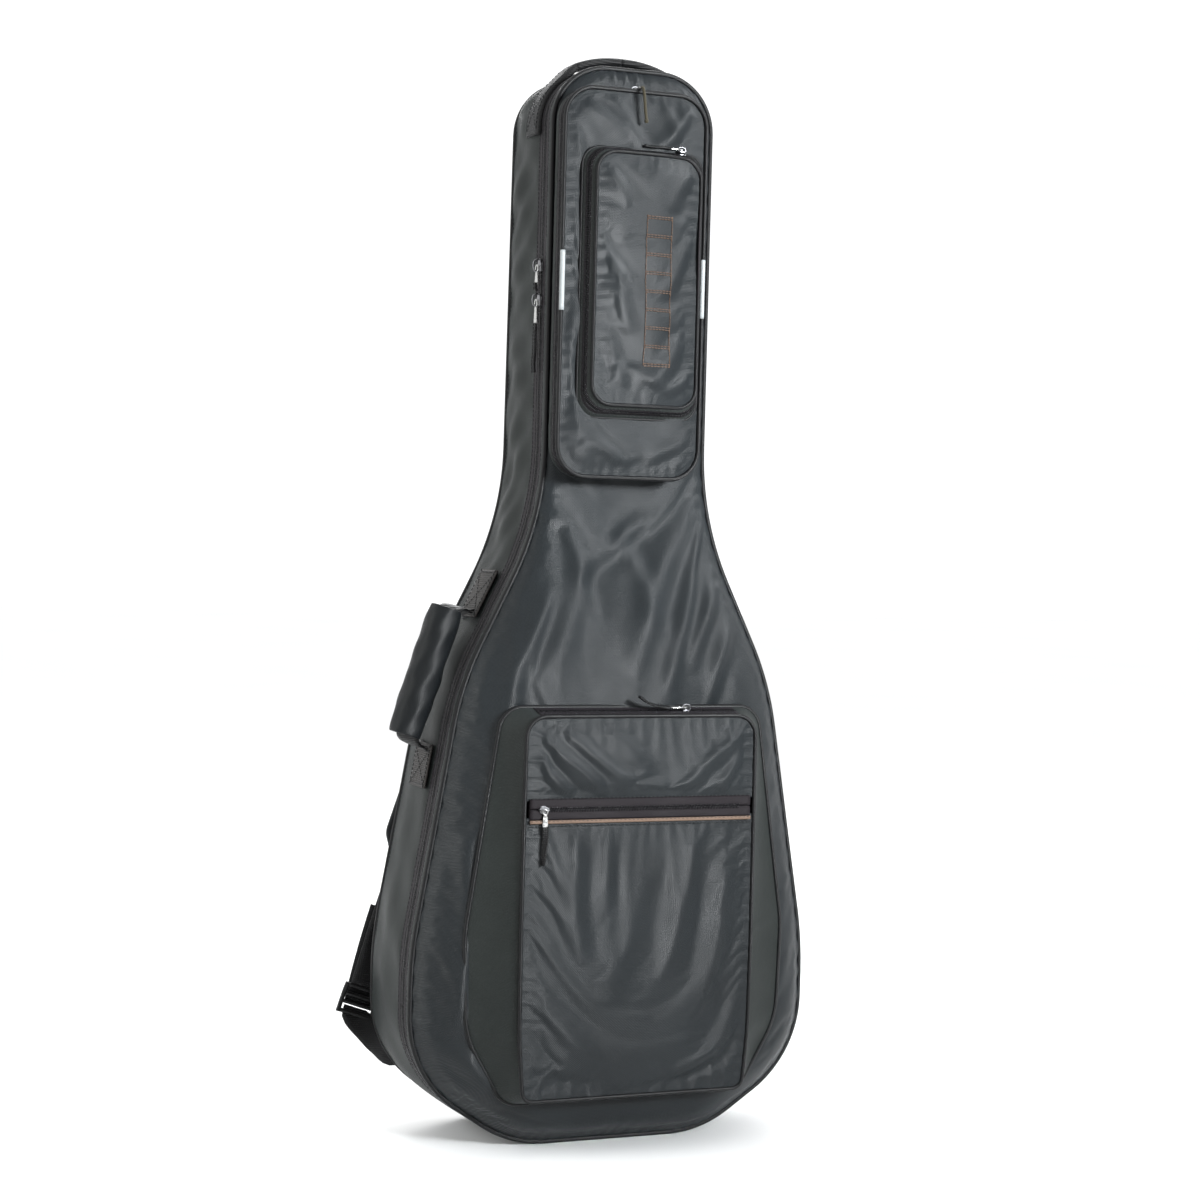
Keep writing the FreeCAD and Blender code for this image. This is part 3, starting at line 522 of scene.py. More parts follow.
def crease(u, v, a, b, width, depth, lean=0.5):
    """One fold from a to b: a raised crest with a shaded valley on one side, thinning to both ends."""
    a, b = np.array(a, float), np.array(b, float)
    d = b - a
    length = math.hypot(*d)
    d /= length
    t = ((u - a[0]) * d[0] + (v - a[1]) * d[1]) / length
    off = ((v - a[1]) * d[0] - (u - a[0]) * d[1]) / width
    off = off + 0.25 * np.sin(t * 5.0 + a[0])
    ends = np.clip(np.sin(np.clip(t, 0, 1) * math.pi), 0, 1) ** 0.7
    return depth * ends * (np.exp(-off * off) - lean * np.exp(-(off - 1.5) ** 2))


def creased(soft, u, v, folds):
    """Adds a list of folds, each with its two ends, width and depth."""
    for fold in folds:
        soft = soft + crease(u, v, *fold)
    return soft


class Panel:
    """A flat pattern piece inside an outline, as rows from the bottom up."""

    def __init__(self, loop, rows, cols, z_from=None, z_to=None):
        right, left = loop.side(1), loop.side(-1)
        s = lengths(right)
        z = np.interp(np.linspace(0, s[-1], rows), s, right[:, 1])
        if z_from is not None or z_to is not None:
            z = np.linspace(z[0] if z_from is None else z_from, z[-1] if z_to is None else z_to, rows)
        t = np.linspace(-1, 1, cols)
        t = 0.5 * t + 0.5 * np.sin(t * math.pi / 2)
        x0, x1 = np.interp(z, left[:, 1], left[:, 0]), np.interp(z, right[:, 1], right[:, 0])
        self.x = x0[:, None] + (x1 - x0)[:, None] * (t + 1) / 2
        self.z = np.repeat(z[:, None], cols, 1)
        near = np.full(self.x.shape, 1e9)
        where = np.zeros(self.x.shape)
        for k in range(len(loop.p)):
            d = np.hypot(self.x - loop.x[k], self.z - loop.z[k])
            where = np.where(d < near, loop.s[k], where)
            near = np.minimum(near, d)
        self.edge, self.where = near, where

    def points(self, y):
        return np.stack([self.x, y, self.z], -1)

    def pucker(self, pitch=13.0, reach=11.0, depth=1.1, seed=1):
        """Short gathers along the seam round the panel."""
        r = np.random.default_rng(seed)
        ph = r.uniform(0, 6.28, 3)
        t = self.where * 2 * math.pi / pitch
        ripple = np.sin(t + ph[0] + 1.4 * np.sin(t / 5.3 + ph[1])) * (0.6 + 0.4 * np.sin(t / 7.1 + ph[2]))
        return depth * ripple * np.exp(-((self.edge - 5) / reach) ** 2)


SIM_FRAMES, SIM_QUALITY = 22, 5
CLOTH_MASS, STRETCH, SHEAR, BEND, AIR = 0.25, 12.0, 4.0, 0.35, 2.0
to_drape = []


def drape(piece, hold, pressure, grow, cap, gravity):
    """Marks a grid piece for the cloth simulation; hold is 1 where it is sewn down."""
    to_drape.append((piece, hold.reshape(-1), pressure, grow, gravity, cap))


def sewn(edge, start, reach, least, drop=0.99):
    """How firmly a cloth is held, from 1 at its seam to least inside."""
    return np.maximum(1 - drop * ease((edge - start) / reach), least)


def run_cloth():
    """All marked pieces slacken, swell and sag together; each keeps the shape it ends in."""
    scene = bpy.context.scene
    rest = {}
    for piece, hold, pressure, grow, gravity, _ in to_drape:
        group = piece.vertex_groups.new(name="sewn")
        for index in np.nonzero(hold > 0)[0]:
            group.add([int(index)], float(hold[index]), "REPLACE")
        rest[piece.name] = np.array([v.co for v in piece.data.vertices])
        modifier = piece.modifiers.new("cloth", "CLOTH")
        piece.modifiers.move(len(piece.modifiers) - 1, 0)
        settings = modifier.settings
        settings.quality, settings.mass = SIM_QUALITY, CLOTH_MASS
        settings.tension_stiffness = settings.compression_stiffness = STRETCH
        settings.shear_stiffness, settings.bending_stiffness = SHEAR, BEND
        settings.air_damping = AIR
        settings.vertex_group_mass = "sewn"
        settings.pin_stiffness = 1.0
        settings.shrink_min = -grow
        settings.use_pressure = True
        settings.uniform_pressure_force = pressure
        settings.effector_weights.gravity = gravity
        modifier.collision_settings.use_collision = False
        modifier.point_cache.frame_start, modifier.point_cache.frame_end = 1, SIM_FRAMES
    for step in range(1, SIM_FRAMES + 1):
        scene.frame_set(step)
    depsgraph = bpy.context.evaluated_depsgraph_get()
    for piece, *_, cap in to_drape:
        kept = [(m, m.show_viewport) for m in piece.modifiers if m.type != "CLOTH"]
        for m, _ in kept:
            m.show_viewport = False
        depsgraph.update()
        posed = piece.evaluated_get(depsgraph).to_mesh()
        moved = np.array([v.co for v in posed.vertices])
        piece.evaluated_get(depsgraph).to_mesh_clear()
        shift = moved - rest[piece.name]
        size = np.linalg.norm(shift, axis=1, keepdims=True)
        shift *= cap * MM * np.tanh(size / (cap * MM)) / np.maximum(size, 1e-9)
        piece.modifiers.remove(piece.modifiers["cloth"])
        for m, shown in kept:
            m.show_viewport = shown
        piece.data.vertices.foreach_set("co", (rest[piece.name] + shift).reshape(-1))
        piece.data.update()
        piece.vertex_groups.clear()
    scene.frame_set(1)


# ---------------------------------------------------------------- the bag's big surfaces
def crown(z):
    """How far the lid stands forward of its seam at each height."""
    return CROWN_BODY + (CROWN_NECK - CROWN_BODY) * ease((z - 470) / 190)


def lid_height(x, z, edge):
    width = 14 + 34 * (crown(z) - CROWN_NECK) / (CROWN_BODY - CROWN_NECK)
    rise = 1 - np.clip(1 - edge / width, 0, 1) ** 2.3
    return crown(z) * rise


def build_front_panel():
    panel = Panel(BAG_LOOP, 250, 84)
    x, z, edge = panel.x, panel.z, panel.edge
    y = lid_height(x, z, edge)
    free = ease((edge - 3) / 26)
    soft = 3.0 * crumple(x, z, 11, 100.0) + 0.5 * wavy(x, z, 90, 15, 5)
    soft = creased(soft, x, z, (
            ((62, 632), (-4, 470), 15, 5.5), ((72, 600), (40, 455), 9, 4.0), ((92, 560), (62, 470), 8, 4.0),
            ((112, 520), (84, 440), 8, 3.5), ((36, 640), (-60, 560), 10, 3.0),
                                ((-66, 636), (-44, 520), 9, 3.0),
            ((-30, 650), (-92, 450), 16, 4.5), ((-84, 560), (-128, 450), 9, 3.5),
                                ((-140, 430), (-160, 200), 10, 4.0),
            ((-162, 330), (-178, 120), 8, 4.5), ((-120, 470), (-148, 330), 9, 3.5),
                                ((-168, 110), (-120, 34), 8, 3.0),
            ((8, 560), (52, 450), 12, 2.6), ((-10, 610), (28, 520), 9, 2.2),
                                ((150, 400), (160, 250), 7, 2.5)))
    y = y + free * soft + panel.pucker(14, 12, 0.7, 3)
    piece = cover("front_panel_nylon", panel.points(FRONT - y), NYLON, "front_lid",
                  replaces=("front_panel_cover", "front_panel_foam"))
    drape(piece, sewn(edge, 4, 10, 0.04, 0.999), 0.25, 0.010, 2.2, 0.03)


def swell(t, power=0.8):
    """A smooth bulge over 0 to 1, none at both ends."""
    return math.sin(t * math.pi) ** power


def build_rear_gusset():
    loop = BAG_LOOP
    s, z, side = loop.s, loop.z, np.abs(loop.n[:, 0])
    start = SPLIT + TAPE_W - 2.0
    grid = []
    for t in np.linspace(0, 1, 22):
        y = start + (back_y(z) - start) * t
        folds = 2.4 * wavy(s, y * 1.2, 64, 24, 21) + 2.0 * wavy(s, y, 34, -38, 25) * ease((z - 480) / 120)
        long_fold = 1.3 * wavy(y * 1.6, s * 0.45, 90, 14, 29) * side
        grid.append(loop.at(-(3.5 * swell(t) + swell(t, 0.6) * (folds + long_fold)) * (z > 12), y))
    piece = cover("rear_gusset_nylon", np.stack(grid, 1), GUSSET, "rear_shell", wrap_rows=True, flip=True,
                  replaces=("side_gusset_cover", "side_gusset_foam"))


def build_back_panel():
    panel = Panel(BAG_LOOP, 200, 60)
    x, z, edge = panel.x, panel.z, panel.edge
    # the panel lies flat where a strap rests or swings against it
    pressed = np.zeros(x.shape)
    for side in ("left", "right"):
        start, along = strap_axes(side)[:2]
        t = np.clip((x - start[0]) * along[0] + (z - start[2]) * along[2], 0, strap_length(side))
        off = np.hypot(x - start[0] - along[0] * t, z - start[2] - along[2] * t)
        pressed = np.maximum(pressed, 1 - ease((off - 46) / 30))
    rise = 6.0 * (1 - np.clip(1 - edge / 60, 0, 1) ** 2)
    soft = 1.6 * crumple(x, z, 41, 120.0) * ease(edge / 30)
    y = back_y(z) + (rise + soft) * (1 - pressed) + panel.pucker(15, 12, 1.0, 9) - 0.3
    piece = cover("back_panel_nylon", panel.points(y), NYLON, "rear_shell", flip=True,
                  replaces=("back_panel_cover", "back_panel_foam"))
    drape(piece, np.maximum(sewn(edge, 4, 10, 0.04, 0.999), pressed), 0.15, 0.008, 2.0, 0.03)


def build_band():
    """The gusset strip between the front seam and the main zip, in front of it."""
    end, grid = SPLIT - TAPE_W + 3.0, []
    for t in np.linspace(0, 1, 7):
        y = FRONT + (end - FRONT) * t
        grid.append(BAG_LOOP.at(-1.5 * swell(t) - 0.4 * wavy(BAG_LOOP.s, y, 30, 20, 51), y))
    cover("front_band_nylon", np.stack(grid, 1), GUSSET, "front_lid", wrap_rows=True, flip=True,
          replaces=("front_band_cover",))


def zipped(loop):
    """Which points of the bag's outline carry the zip: all but the sewn side."""
    return ~((loop.x > SEWN_X) & (loop.z > HINGE_LOW) & (loop.z < HINGE_HIGH))


def run_of(mask):
    """Indices of the one run of true values in a closed loop, in order."""
    start = int(np.nonzero(mask & ~np.roll(mask, 1))[0][0])
    order = (np.arange(len(mask)) + start) % len(mask)
    return order[mask[order]]


def finish_zip(name, body, tape, teeth, seam, replaces=()):
    """Builds the three pieces of a zip, or of one half of it."""
    tape.build(name + "_tape_cloth", TAPE, body, "zip_tape", replaces=replaces)
    teeth.build(name + "_coil", COIL, body, "zip_tape")
    seam.build(name + "_stitches", THREAD, body, "zip_tape")


def build_main_zip():
    order = run_of(zipped(BAG_LOOP))
    normal, middle = BAG_LOOP.out[order], BAG_LOOP.at(-0.6, SPLIT)[order]
    width = TAPE_W + 1.0
    for half, sign, body in (("rear", 1, "rear_shell"), ("front", -1, "front_lid")):
        tape, teeth, seam = Soup(), Soup(), Soup()
        add_ribbon(tape, middle + (0, sign * (0.5 + width / 2), 0), (0, 1, 0), normal, width, TAPE_T, 0.5)
        zip_teeth(teeth, middle + normal * 0.7, normal, (0, sign, 0), sign)
        stitch(seam, middle + (0, sign * (TAPE_W - 3.0), 0) + normal * 0.9, normal)
        stitch(seam, middle + (0, sign * 4.6, 0) + normal * 0.8, normal, pitch=3.6)
        finish_zip("main_zip_" + half, body, tape, teeth, seam, ("main_zip_%s_tape" % half,))


def zip_teeth(soup, path, up, outward, sign, pitch=1.7):
    """One half of a coil zip: teeth across the path, set half a pitch off from the other half's."""
    up, outward = [np.broadcast_to(np.asarray(d, float), path.shape) for d in (up, outward)]
    s = lengths(path)
    t = np.arange(pitch * (0.5 if sign > 0 else 1.0), s[-1], pitch)
    data = np.hstack([path, up, outward])
    data = np.stack([np.interp(t, s, data[:, k]) for k in range(9)], 1)
    across = unit(data[:, 6:])
    soup.copies(*TOOTH, data[:, :3] + across * 1.15, across, unit(data[:, 3:6]))


def build_hinge_cloth():
    """The sewn side of the lid: one strip of gusset cloth, bowed out a little."""
    loop = BAG_LOOP
    order = run_of((loop.x > SEWN_X) & (loop.z > HINGE_LOW - 6) & (loop.z < HINGE_HIGH + 6))
    rows = []
    for t in np.linspace(-1, 1, 15):
        bow = 1.2 * (1 - t * t)
        rows.append(loop.at(-bow - 0.5 * wavy(loop.s, t * 20, 30, 30, 61), SPLIT + (TAPE_W + 1.5) * t)[order])
    piece = cover("lid_hinge_nylon", np.stack(rows, 1), GUSSET, None, flip=True)
    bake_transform(piece)


def build_linings():
    """Smooth inner cloth of both halves, with the padded rim that shows when the lid is open."""
    loop = BAG_LOOP
    deep = back_y(loop.z) - SHELL - 1.0
    rim_y = SPLIT + 3.0
    profile = [(1.2, rim_y), (4.0, rim_y - 1.2), (8.0, rim_y - 1.2), (SHELL, rim_y + 1.5),
               (SHELL + 0.6, rim_y + 8)]
    profile += [(SHELL + 0.8, rim_y + 8 + (deep - rim_y - 8) * k / 6) for k in range(1, 7)]
    grid = np.stack([loop.at(i, y) for i, y in profile], 1)
    surface("rear_side_lining", grid, LINING, "rear_shell", "lining_cloth", wrap_rows=True,
            replaces=("rear_lining",))
    inner = Loop(loop.at(SHELL, 0)[:, [0, 2]])
    panel = Panel(inner, 120, 40)
    quilt = 1.2 * np.abs(np.sin(panel.x / 34) * np.sin(panel.z / 34)) ** 0.5 * ease(panel.edge / 20)
    y = back_y(panel.z) - SHELL - 1.0 - quilt
    surface("rear_back_lining", panel.points(y), LINING, "rear_shell", "lining_cloth")
    rim_y = SPLIT - 3.0
    profile = [(1.2, rim_y), (4.0, rim_y + 1.2), (8.0, rim_y + 1.2), (SHELL, rim_y - 1.5),
               (SHELL + 0.8, FRONT + 4)]
    grid = np.stack([loop.at(i, y) for i, y in profile], 1)
    surface("lid_side_lining", grid, LINING, "front_lid", "lining_cloth", wrap_rows=True, flip=True,
            replaces=("front_panel_lining",))
    y = FRONT + 4 - np.maximum(lid_height(panel.x, panel.z, panel.edge) - 7.0, 0) + quilt
    surface("lid_panel_lining", panel.points(y), LINING, "front_lid", "lining_cloth", flip=True)


def round_piping(name, loop, inset, y, radius, body, replaces=()):
    """Corded piping round an outline."""
    soup = Soup()
    add_tube(soup, loop.at(inset, y), radius, True, a_dir=loop.out, b_dir=np.array([[0, 1.0, 0]]))
    soup.build(name, PIPING, body, "piping_black", replaces=replaces)


def build_edges():
    round_piping("front_edge_cord", BAG_LOOP, -0.6, FRONT - 0.6, 2.7, "front_lid",
                 replaces=("front_edge_piping",))
    round_piping("back_edge_cord", BAG_LOOP, -0.4, back_y(BAG_LOOP.z) + 0.4, 2.6, "rear_shell",
                 replaces=("back_edge_piping",))
    seam = Soup()
    stitch(seam, BAG_LOOP.at(-1.6, back_y(BAG_LOOP.z) - 5.0), BAG_LOOP.out, True)
    seam.build("back_edge_stitches", THREAD, "rear_shell", "piping_black")


def build_wear_pad():
    """Ribbed rubber under the bottom, following the bag's curve a little way up both corners."""
    half, top, pitch = 115.0, 60.0, 7.0
    order = run_of((np.abs(BAG_LOOP.x) < half) & (BAG_LOOP.z < top))
    soup = Soup()
    y0, y1 = low("bottom_wear_pad")[1], high("bottom_wear_pad")[1]
    path, normal = BAG_LOOP.at(-PAD_T / 2, (y0 + y1) / 2)[order], BAG_LOOP.out[order]
    add_ribbon(soup, path, (0, 1, 0), normal, y1 - y0, 1.2, 0.0, 9)
    for p in resample(np.hstack([path, normal]), pitch)[1:-1]:
        rib = resample(points_at(p[0], (y0 + 2, y1 - 2), p[2]) + p[3:] * 0.2, 12.0)
        add_ribbon(soup, rib, np.cross(p[3:], (0, 1, 0)), p[3:], 3.4, 2.6, 0.0, 4)
    soup.build("wear_pad_rubber", RUBBER, "rear_shell", "rubber_black", replaces=("bottom_wear_pad",))


# ---------------------------------------------------------------- lower pocket
def lower_top_z(front):
    share = (front - LOWER_BASE) / (LOWER_FACE - LOWER_BASE)
    return PAD_T + LOWER_OUT[-1][1] + share * (LOWER_IN[-1][1] - LOWER_OUT[-1][1])


def lower_top_axes():
    """Across the lower pocket's top from the rim to the face, and square out of it."""
    slope = unit(np.array([0, LOWER_BASE - LOWER_FACE, lower_top_z(LOWER_FACE) - lower_top_z(LOWER_BASE)]))
    up = np.cross(slope, (1.0, 0, 0))
    return slope, up if up[2] > 0 else -up


def build_lower_pocket():
    outer, inner, body = LOWER_OUTER, LOWER_INNER, "front_lid"
    grid = []
    for t in np.linspace(0, 1, 12):
        q = outer.at(0, 0) * (1 - t) + inner.at(0, 0) * t
        y = FRONT - (LOWER_BASE + (LOWER_FACE - 1.0 - LOWER_BASE) * t) + 2.5 * swell(t, 1.0)
        q[:, 1] = y - swell(t, 0.7) * 1.3 * wavy(outer.z, t * 40, 55, 10, 71) * (outer.z < 400)
        grid.append(q)
    cover("lower_pocket_side_nylon", np.stack(grid, 1), GUSSET, body, wrap_rows=True,
          replaces=("lower_pocket_gusset",))
    round_piping("lower_pocket_rim_cord", Loop(outer.p, 4.0), -0.3, FRONT - LOWER_BASE - 0.8, 2.3, body,
                 replaces=("lower_pocket_piping",))
    round_piping("lower_pocket_face_cord", Loop(inner.p, 4.0), -0.4, FRONT - LOWER_FACE - 0.8, 2.1, body)
    doc = DOC_ZIP_Z
    upper = Panel(inner, 44, 84, z_from=doc + 8)
    x, z, edge = upper.x, upper.z, upper.edge
    free = ease(edge / 22) * ease((z - doc - 8) / 10)
    soft = 2.2 * crumple(x, z, 81, 60)
    soft = creased(soft, x, z, (((-112, 418), (-38, 352), 7, 4.0), ((-96, 424), (-10, 366), 7, 3.2),
                               ((-114, 396), (-74, 352), 6, 3.0), ((112, 420), (40, 360), 8, 2.6),
                               ((-60, 426), (20, 380), 7, 2.0), ((104, 400), (84, 356), 6, 2.0)))
    y = 1.0 + 4.0 * ease(edge / 40) * ease((z - doc) / 30) + free * soft + upper.pucker(12, 9, 0.5, 12)
    piece = cover("lower_pocket_upper_nylon", upper.points(FRONT - LOWER_FACE - y), NYLON, body,
                  replaces=("lower_pocket_upper_face",))
    drape(piece, sewn(np.minimum(edge, z - doc - 8), 2, 10, 0.04), 0.2, 0.010, 1.8, 0.03)
    lower = Panel(inner, 110, 84, z_to=doc - 8)
    x, z, edge = lower.x, lower.z, lower.edge
    free = ease(edge / 26) * ease((doc - 8 - z) / 22)
    soft = 2.0 * crumple(x, z, 91, 95) + 0.25 * wavy(x, z, 45, 8, 95) * ease((z - 120) / 120)
    soft = creased(soft, x, z, (((-70, 330), (-64, 190), 9, 2.4), ((-40, 332), (-30, 240), 7, 2.0),
                               ((64, 328), (20, 170), 12, 3.0), ((96, 300), (70, 120), 10, 2.4),
                               ((-100, 160), (-40, 84), 10, 2.4), ((10, 300), (-34, 150), 14, 2.0),
                               ((104, 120), (40, 72), 8, 2.2)))
    y = 1.0 + 5.0 * ease(edge / 55) * ease((doc - z) / 40) + free * soft + lower.pucker(13, 9, 0.3, 13)
    piece = cover("lower_pocket_lower_nylon", lower.points(FRONT - LOWER_FACE - y), NYLON, body,
                  replaces=("lower_pocket_lower_face", "document_pocket_liner"))
    drape(piece, sewn(np.minimum(edge, doc - 8 - z), 2, 10, 0.04), 0.2, 0.010, 1.8, 0.03)
    build_document_zip(body)
    build_lower_zip(body)


def build_document_zip(body):
    half = high("document_zip_tapes")[0] + 5
    row = points_at(np.linspace(-half, half, 60), FRONT - LOWER_FACE - 2.0, DOC_ZIP_Z)
    out = np.array([0, -1.0, 0])
    tapes, teeth, seam, trim = Soup(), Soup(), Soup(), Soup()
    for sign in (-1, 1):
        add_ribbon(tapes, row + (0, 0, sign * 5.4), (0, 0, 1), out, 9.6, TAPE_T, 0.4)
        zip_teeth(teeth, row[3:-3] + out * 0.8, out, (0, 0, sign), sign)
        stitch(seam, row + (0, -1.9, sign * 11.0), out)
    stitch(seam, row + (0, -2.6, -15.6), out, pitch=4.0)
    add_ribbon(trim, row + (0, -1.6, -11.8), (0, 0, 1), out, 3.4, 1.0, 0.3)
    add_ribbon(tapes, row + (0, 3.0, 0), (0, 0, 1), out, 30, 0.8)
    finish_zip("document_zip", body, tapes, teeth, seam, ("document_zip_tapes",))
    trim.build("document_zip_tan_tape", TAN, body, "tan_trim", replaces=("document_zip_trim",))


def build_lower_zip(body):
    """The zip across the top of the lower pocket, between the rim and the face."""
    half = high("lower_pocket_zip_front_tape")[0] + 6
    slope, up = lower_top_axes()
    row = points_at(np.linspace(-half, half, 60), FRONT - LOWER_ZIP, lower_top_z(LOWER_ZIP))
    tapes, teeth, seam = Soup(), Soup(), Soup()
    for sign in (-1, 1):
        add_ribbon(tapes, row + slope * sign * 6.2 + up * 0.3, slope, up, 11.5, TAPE_T, 0.4)
        zip_teeth(teeth, row + up * 0.9, up, slope * sign, sign)
        stitch(seam, row + slope * sign * 9.0 + up * 1.0, up)
    finish_zip("lower_pocket_zip", body, tapes, teeth, seam,
               ("lower_pocket_zip_rear_tape", "lower_pocket_zip_front_tape"))


# ---------------------------------------------------------------- neck pocket and small pocket
POCKET_T = 0.9  # thickness of the pockets' cloth


def build_wall(name, y_from, y_to, body, bow, seed, replaces):
    """A strip of the neck pocket's wall between two depths."""
    loop, rows = NECK_LOOP, []
    for t in np.linspace(0, 1, 9):
        ripple = 0.5 * swell(t) * wavy(loop.s, t * 12, 30, 25, seed)
        rows.append(loop.at(-bow * swell(t) - ripple, y_from + (y_to - y_from) * t))
    cover(name, np.stack(rows, 1), GUSSET, body, thick=POCKET_T, wrap_rows=True, replaces=replaces)


def build_neck_zip(y, bodies, width=5.5):
    """The zip round the neck pocket's wall, except along its sewn right-hand side."""
    loop = NECK_LOOP
    normal, span = loop.out, (loop.z > loop.z.min() + 34) & (loop.z < loop.z.max() - 28)
    order = run_of(~((loop.x > NECK_BOX[1] - 8) & span))
    for half, sign, body in zip(("rear", "front"), (1, -1), bodies):
        tape, teeth, seam = Soup(), Soup(), Soup()
        centre = closed_up(loop.at(-0.4, y + sign * (0.4 + width / 2)))
        add_ribbon(tape, centre, (0, 1, 0), closed_up(normal), width, TAPE_T, 0.3, 5)
        zip_teeth(teeth, loop.at(-1.3, y)[order], normal[order], (0, sign, 0), sign)
        stitch(seam, loop.at(-1.1, y + sign * 4.4)[order], normal[order])
        finish_zip("neck_pocket_zip_" + half, body, tape, teeth, seam, ("neck_pocket_zip_%s_tape" % half,))


def pocket_face(name, loop, y, body, bulge, creases, seed, replaces, rows, cols):
    """The padded-looking face of a pocket, at depth y, with its folds."""
    panel = Panel(loop, rows, cols)
    x, z, edge = panel.x, panel.z, panel.edge
    soft = creased(2.2 * crumple(x, z, seed, 55), x, z, creases)
    rise = bulge * (1 - np.clip(1 - edge / 34, 0, 1) ** 2)
    out = rise + ease(edge / 18) * soft + panel.pucker(12, 8, 0.4, seed)
    depth = y(x) if callable(y) else y
    piece = cover(name, panel.points(depth - out), NYLON, body, thick=POCKET_T, replaces=replaces)
    drape(piece, sewn(edge, 2, 9, 0.05), 0.06, 0.008, 1.0, 0.0)
    return piece


def build_neck_pocket():
    lid, flap = "front_lid", "neck_pocket_flap"
    y_zip, y_face = FRONT - NECK_ZIP, FRONT - NECK_FACE - 1.5
    build_wall("neck_pocket_base_nylon", FRONT - NECK_BASE + 1.5, y_zip + 5.5, lid, 0.8, 101,
               ("neck_pocket_base_wall",))
    build_wall("neck_pocket_flap_side_nylon", y_zip - 5.5, y_face, flap, 0.6, 105,
               ("neck_pocket_flap_wall",))
    build_neck_zip(y_zip, (lid, flap))
    creases = (((-62, 1030), (-20, 992), 8, 3.4), ((-40, 1036), (4, 985), 7, 3.0),
               ((52, 1030), (12, 984), 8, 3.2),
               ((20, 1034), (34, 992), 6, 2.4), ((-78, 1000), (-60, 960), 6, 2.2),
               ((-74, 940), (-62, 840), 5, 1.6),
               ((-76, 820), (-64, 700), 6, 2.0), ((-60, 700), (-6, 676), 7, 2.4),
               ((54, 706), (10, 678), 7, 2.0),
               ((-76, 884), (-66, 850), 5, 1.5))
    pocket_face("neck_pocket_face_nylon", NECK_LOOP, y_face, flap, 3.0, creases, 111,
                ("neck_pocket_flap_face",), 110, 46)
    round_piping("neck_pocket_cord", NECK_LOOP, -0.7, y_face - 0.6, 2.2, flap,
                 replaces=("neck_pocket_piping",))
    glow, zs = Soup(), np.linspace(low("reflective_strips")[2], high("reflective_strips")[2], 16)
    rim_x = NECK_LOOP.at(-0.9, 0)[:, 0]
    for edge_x in (rim_x.min() + 0.6, rim_x.max() - 0.6):
        add_tube(glow, points_at(edge_x, y_face - 1.0, zs), 2.6, sides=12)
    glow.build("reflective_cord", GLOW, flap, "reflective_tape", replaces=("reflective_strips",))


def small_face_y(x):
    """Depth of the small pocket's face, which sinks towards its sewn right-hand side."""
    return FRONT - SMALL_FACE - 1.0 + 11.0 * ease((x - 5) / 58)


def build_small_pocket():
    """A pocket whose sides slope in towards its face, with its zip round three of them."""
    base, flap = "neck_pocket_flap", "small_pocket_flap"
    y_base = FRONT - NECK_FACE - 3.0
    foot, front = [Loop(trace(box_corners(box))) for box in (SMALL_BOX, SMALL_FRONT)]
    foot3, front3 = foot.at(0, y_base), front.at(0, small_face_y(front.x))
    slope, middle = unit(front3 - foot3), (foot3 + front3) / 2
    normal = unit(np.cross(along_of(foot3, True), slope))
    normal = np.where((normal * foot.out).sum(1)[:, None] < 0, -normal, normal)
    order = run_of(~((foot.x > SMALL_BOX[1] - 6) & (foot.z > SMALL_BOX[2] + 37)
                     & (foot.z < SMALL_BOX[3] - 25)))
    for half, sign, body, start, node in (("rear", -1, base, foot3, "small_pocket_base_wall"),
                                          ("front", 1, flap, front3, "small_pocket_flap_wall")):
        near = middle + slope * sign * 0.4
        rows = [near + (start - near) * t + normal * 0.5 * math.sin(t * math.pi) for t in np.linspace(0, 1,
                                                                                                      6)]
        surface("small_pocket_%s_nylon" % half, np.stack(rows, 1), GUSSET, body, "satin_nylon",
                wrap_rows=True,
                flip=sign < 0, replaces=(node,), thick=0.8)
        tape, teeth, seam = Soup(), Soup(), Soup()
        centre = near + slope * sign * 3.0 + normal * 0.5
        add_ribbon(tape, closed_up(centre), closed_up(slope), closed_up(normal), 6.0, TAPE_T, 0.3, 5)
        zip_teeth(teeth, (near + normal * 1.3)[order], normal[order], (slope * sign)[order], sign)
        stitch(seam, (near + slope * sign * 4.8 + normal * 1.0)[order], normal[order])
        finish_zip("small_pocket_zip_" + half, body, tape, teeth, seam)
    creases = (((-48, 965), (-20, 925), 8, 2.4), ((50, 965), (20, 925), 8, 2.2),
               ((-50, 900), (-28, 850), 7, 2.2),
               ((-40, 880), (-14, 800), 9, 2.2), ((50, 900), (24, 840), 8, 2.0),
               ((-46, 806), (-20, 752), 8, 2.6),
               ((40, 800), (6, 750), 9, 2.6), ((54, 770), (20, 738), 6, 2.0), ((-30, 776), (30, 746), 8, 1.8))
    edge_loop = Loop(front.p, 4.0)
    face = pocket_face("small_pocket_face_nylon", edge_loop, small_face_y, flap, 2.0, creases, 131,
                       ("small_pocket_flap_face",), 84, 44)
    round_piping("small_pocket_cord", edge_loop, -0.3, small_face_y(edge_loop.x) - 0.4, 1.9, flap,
                 replaces=("small_pocket_piping",))
    round_piping("small_pocket_foot_cord", Loop(foot.p, 4.0), -0.6, y_base - 0.6, 1.4, base)
    build_embroidery(flap, face)


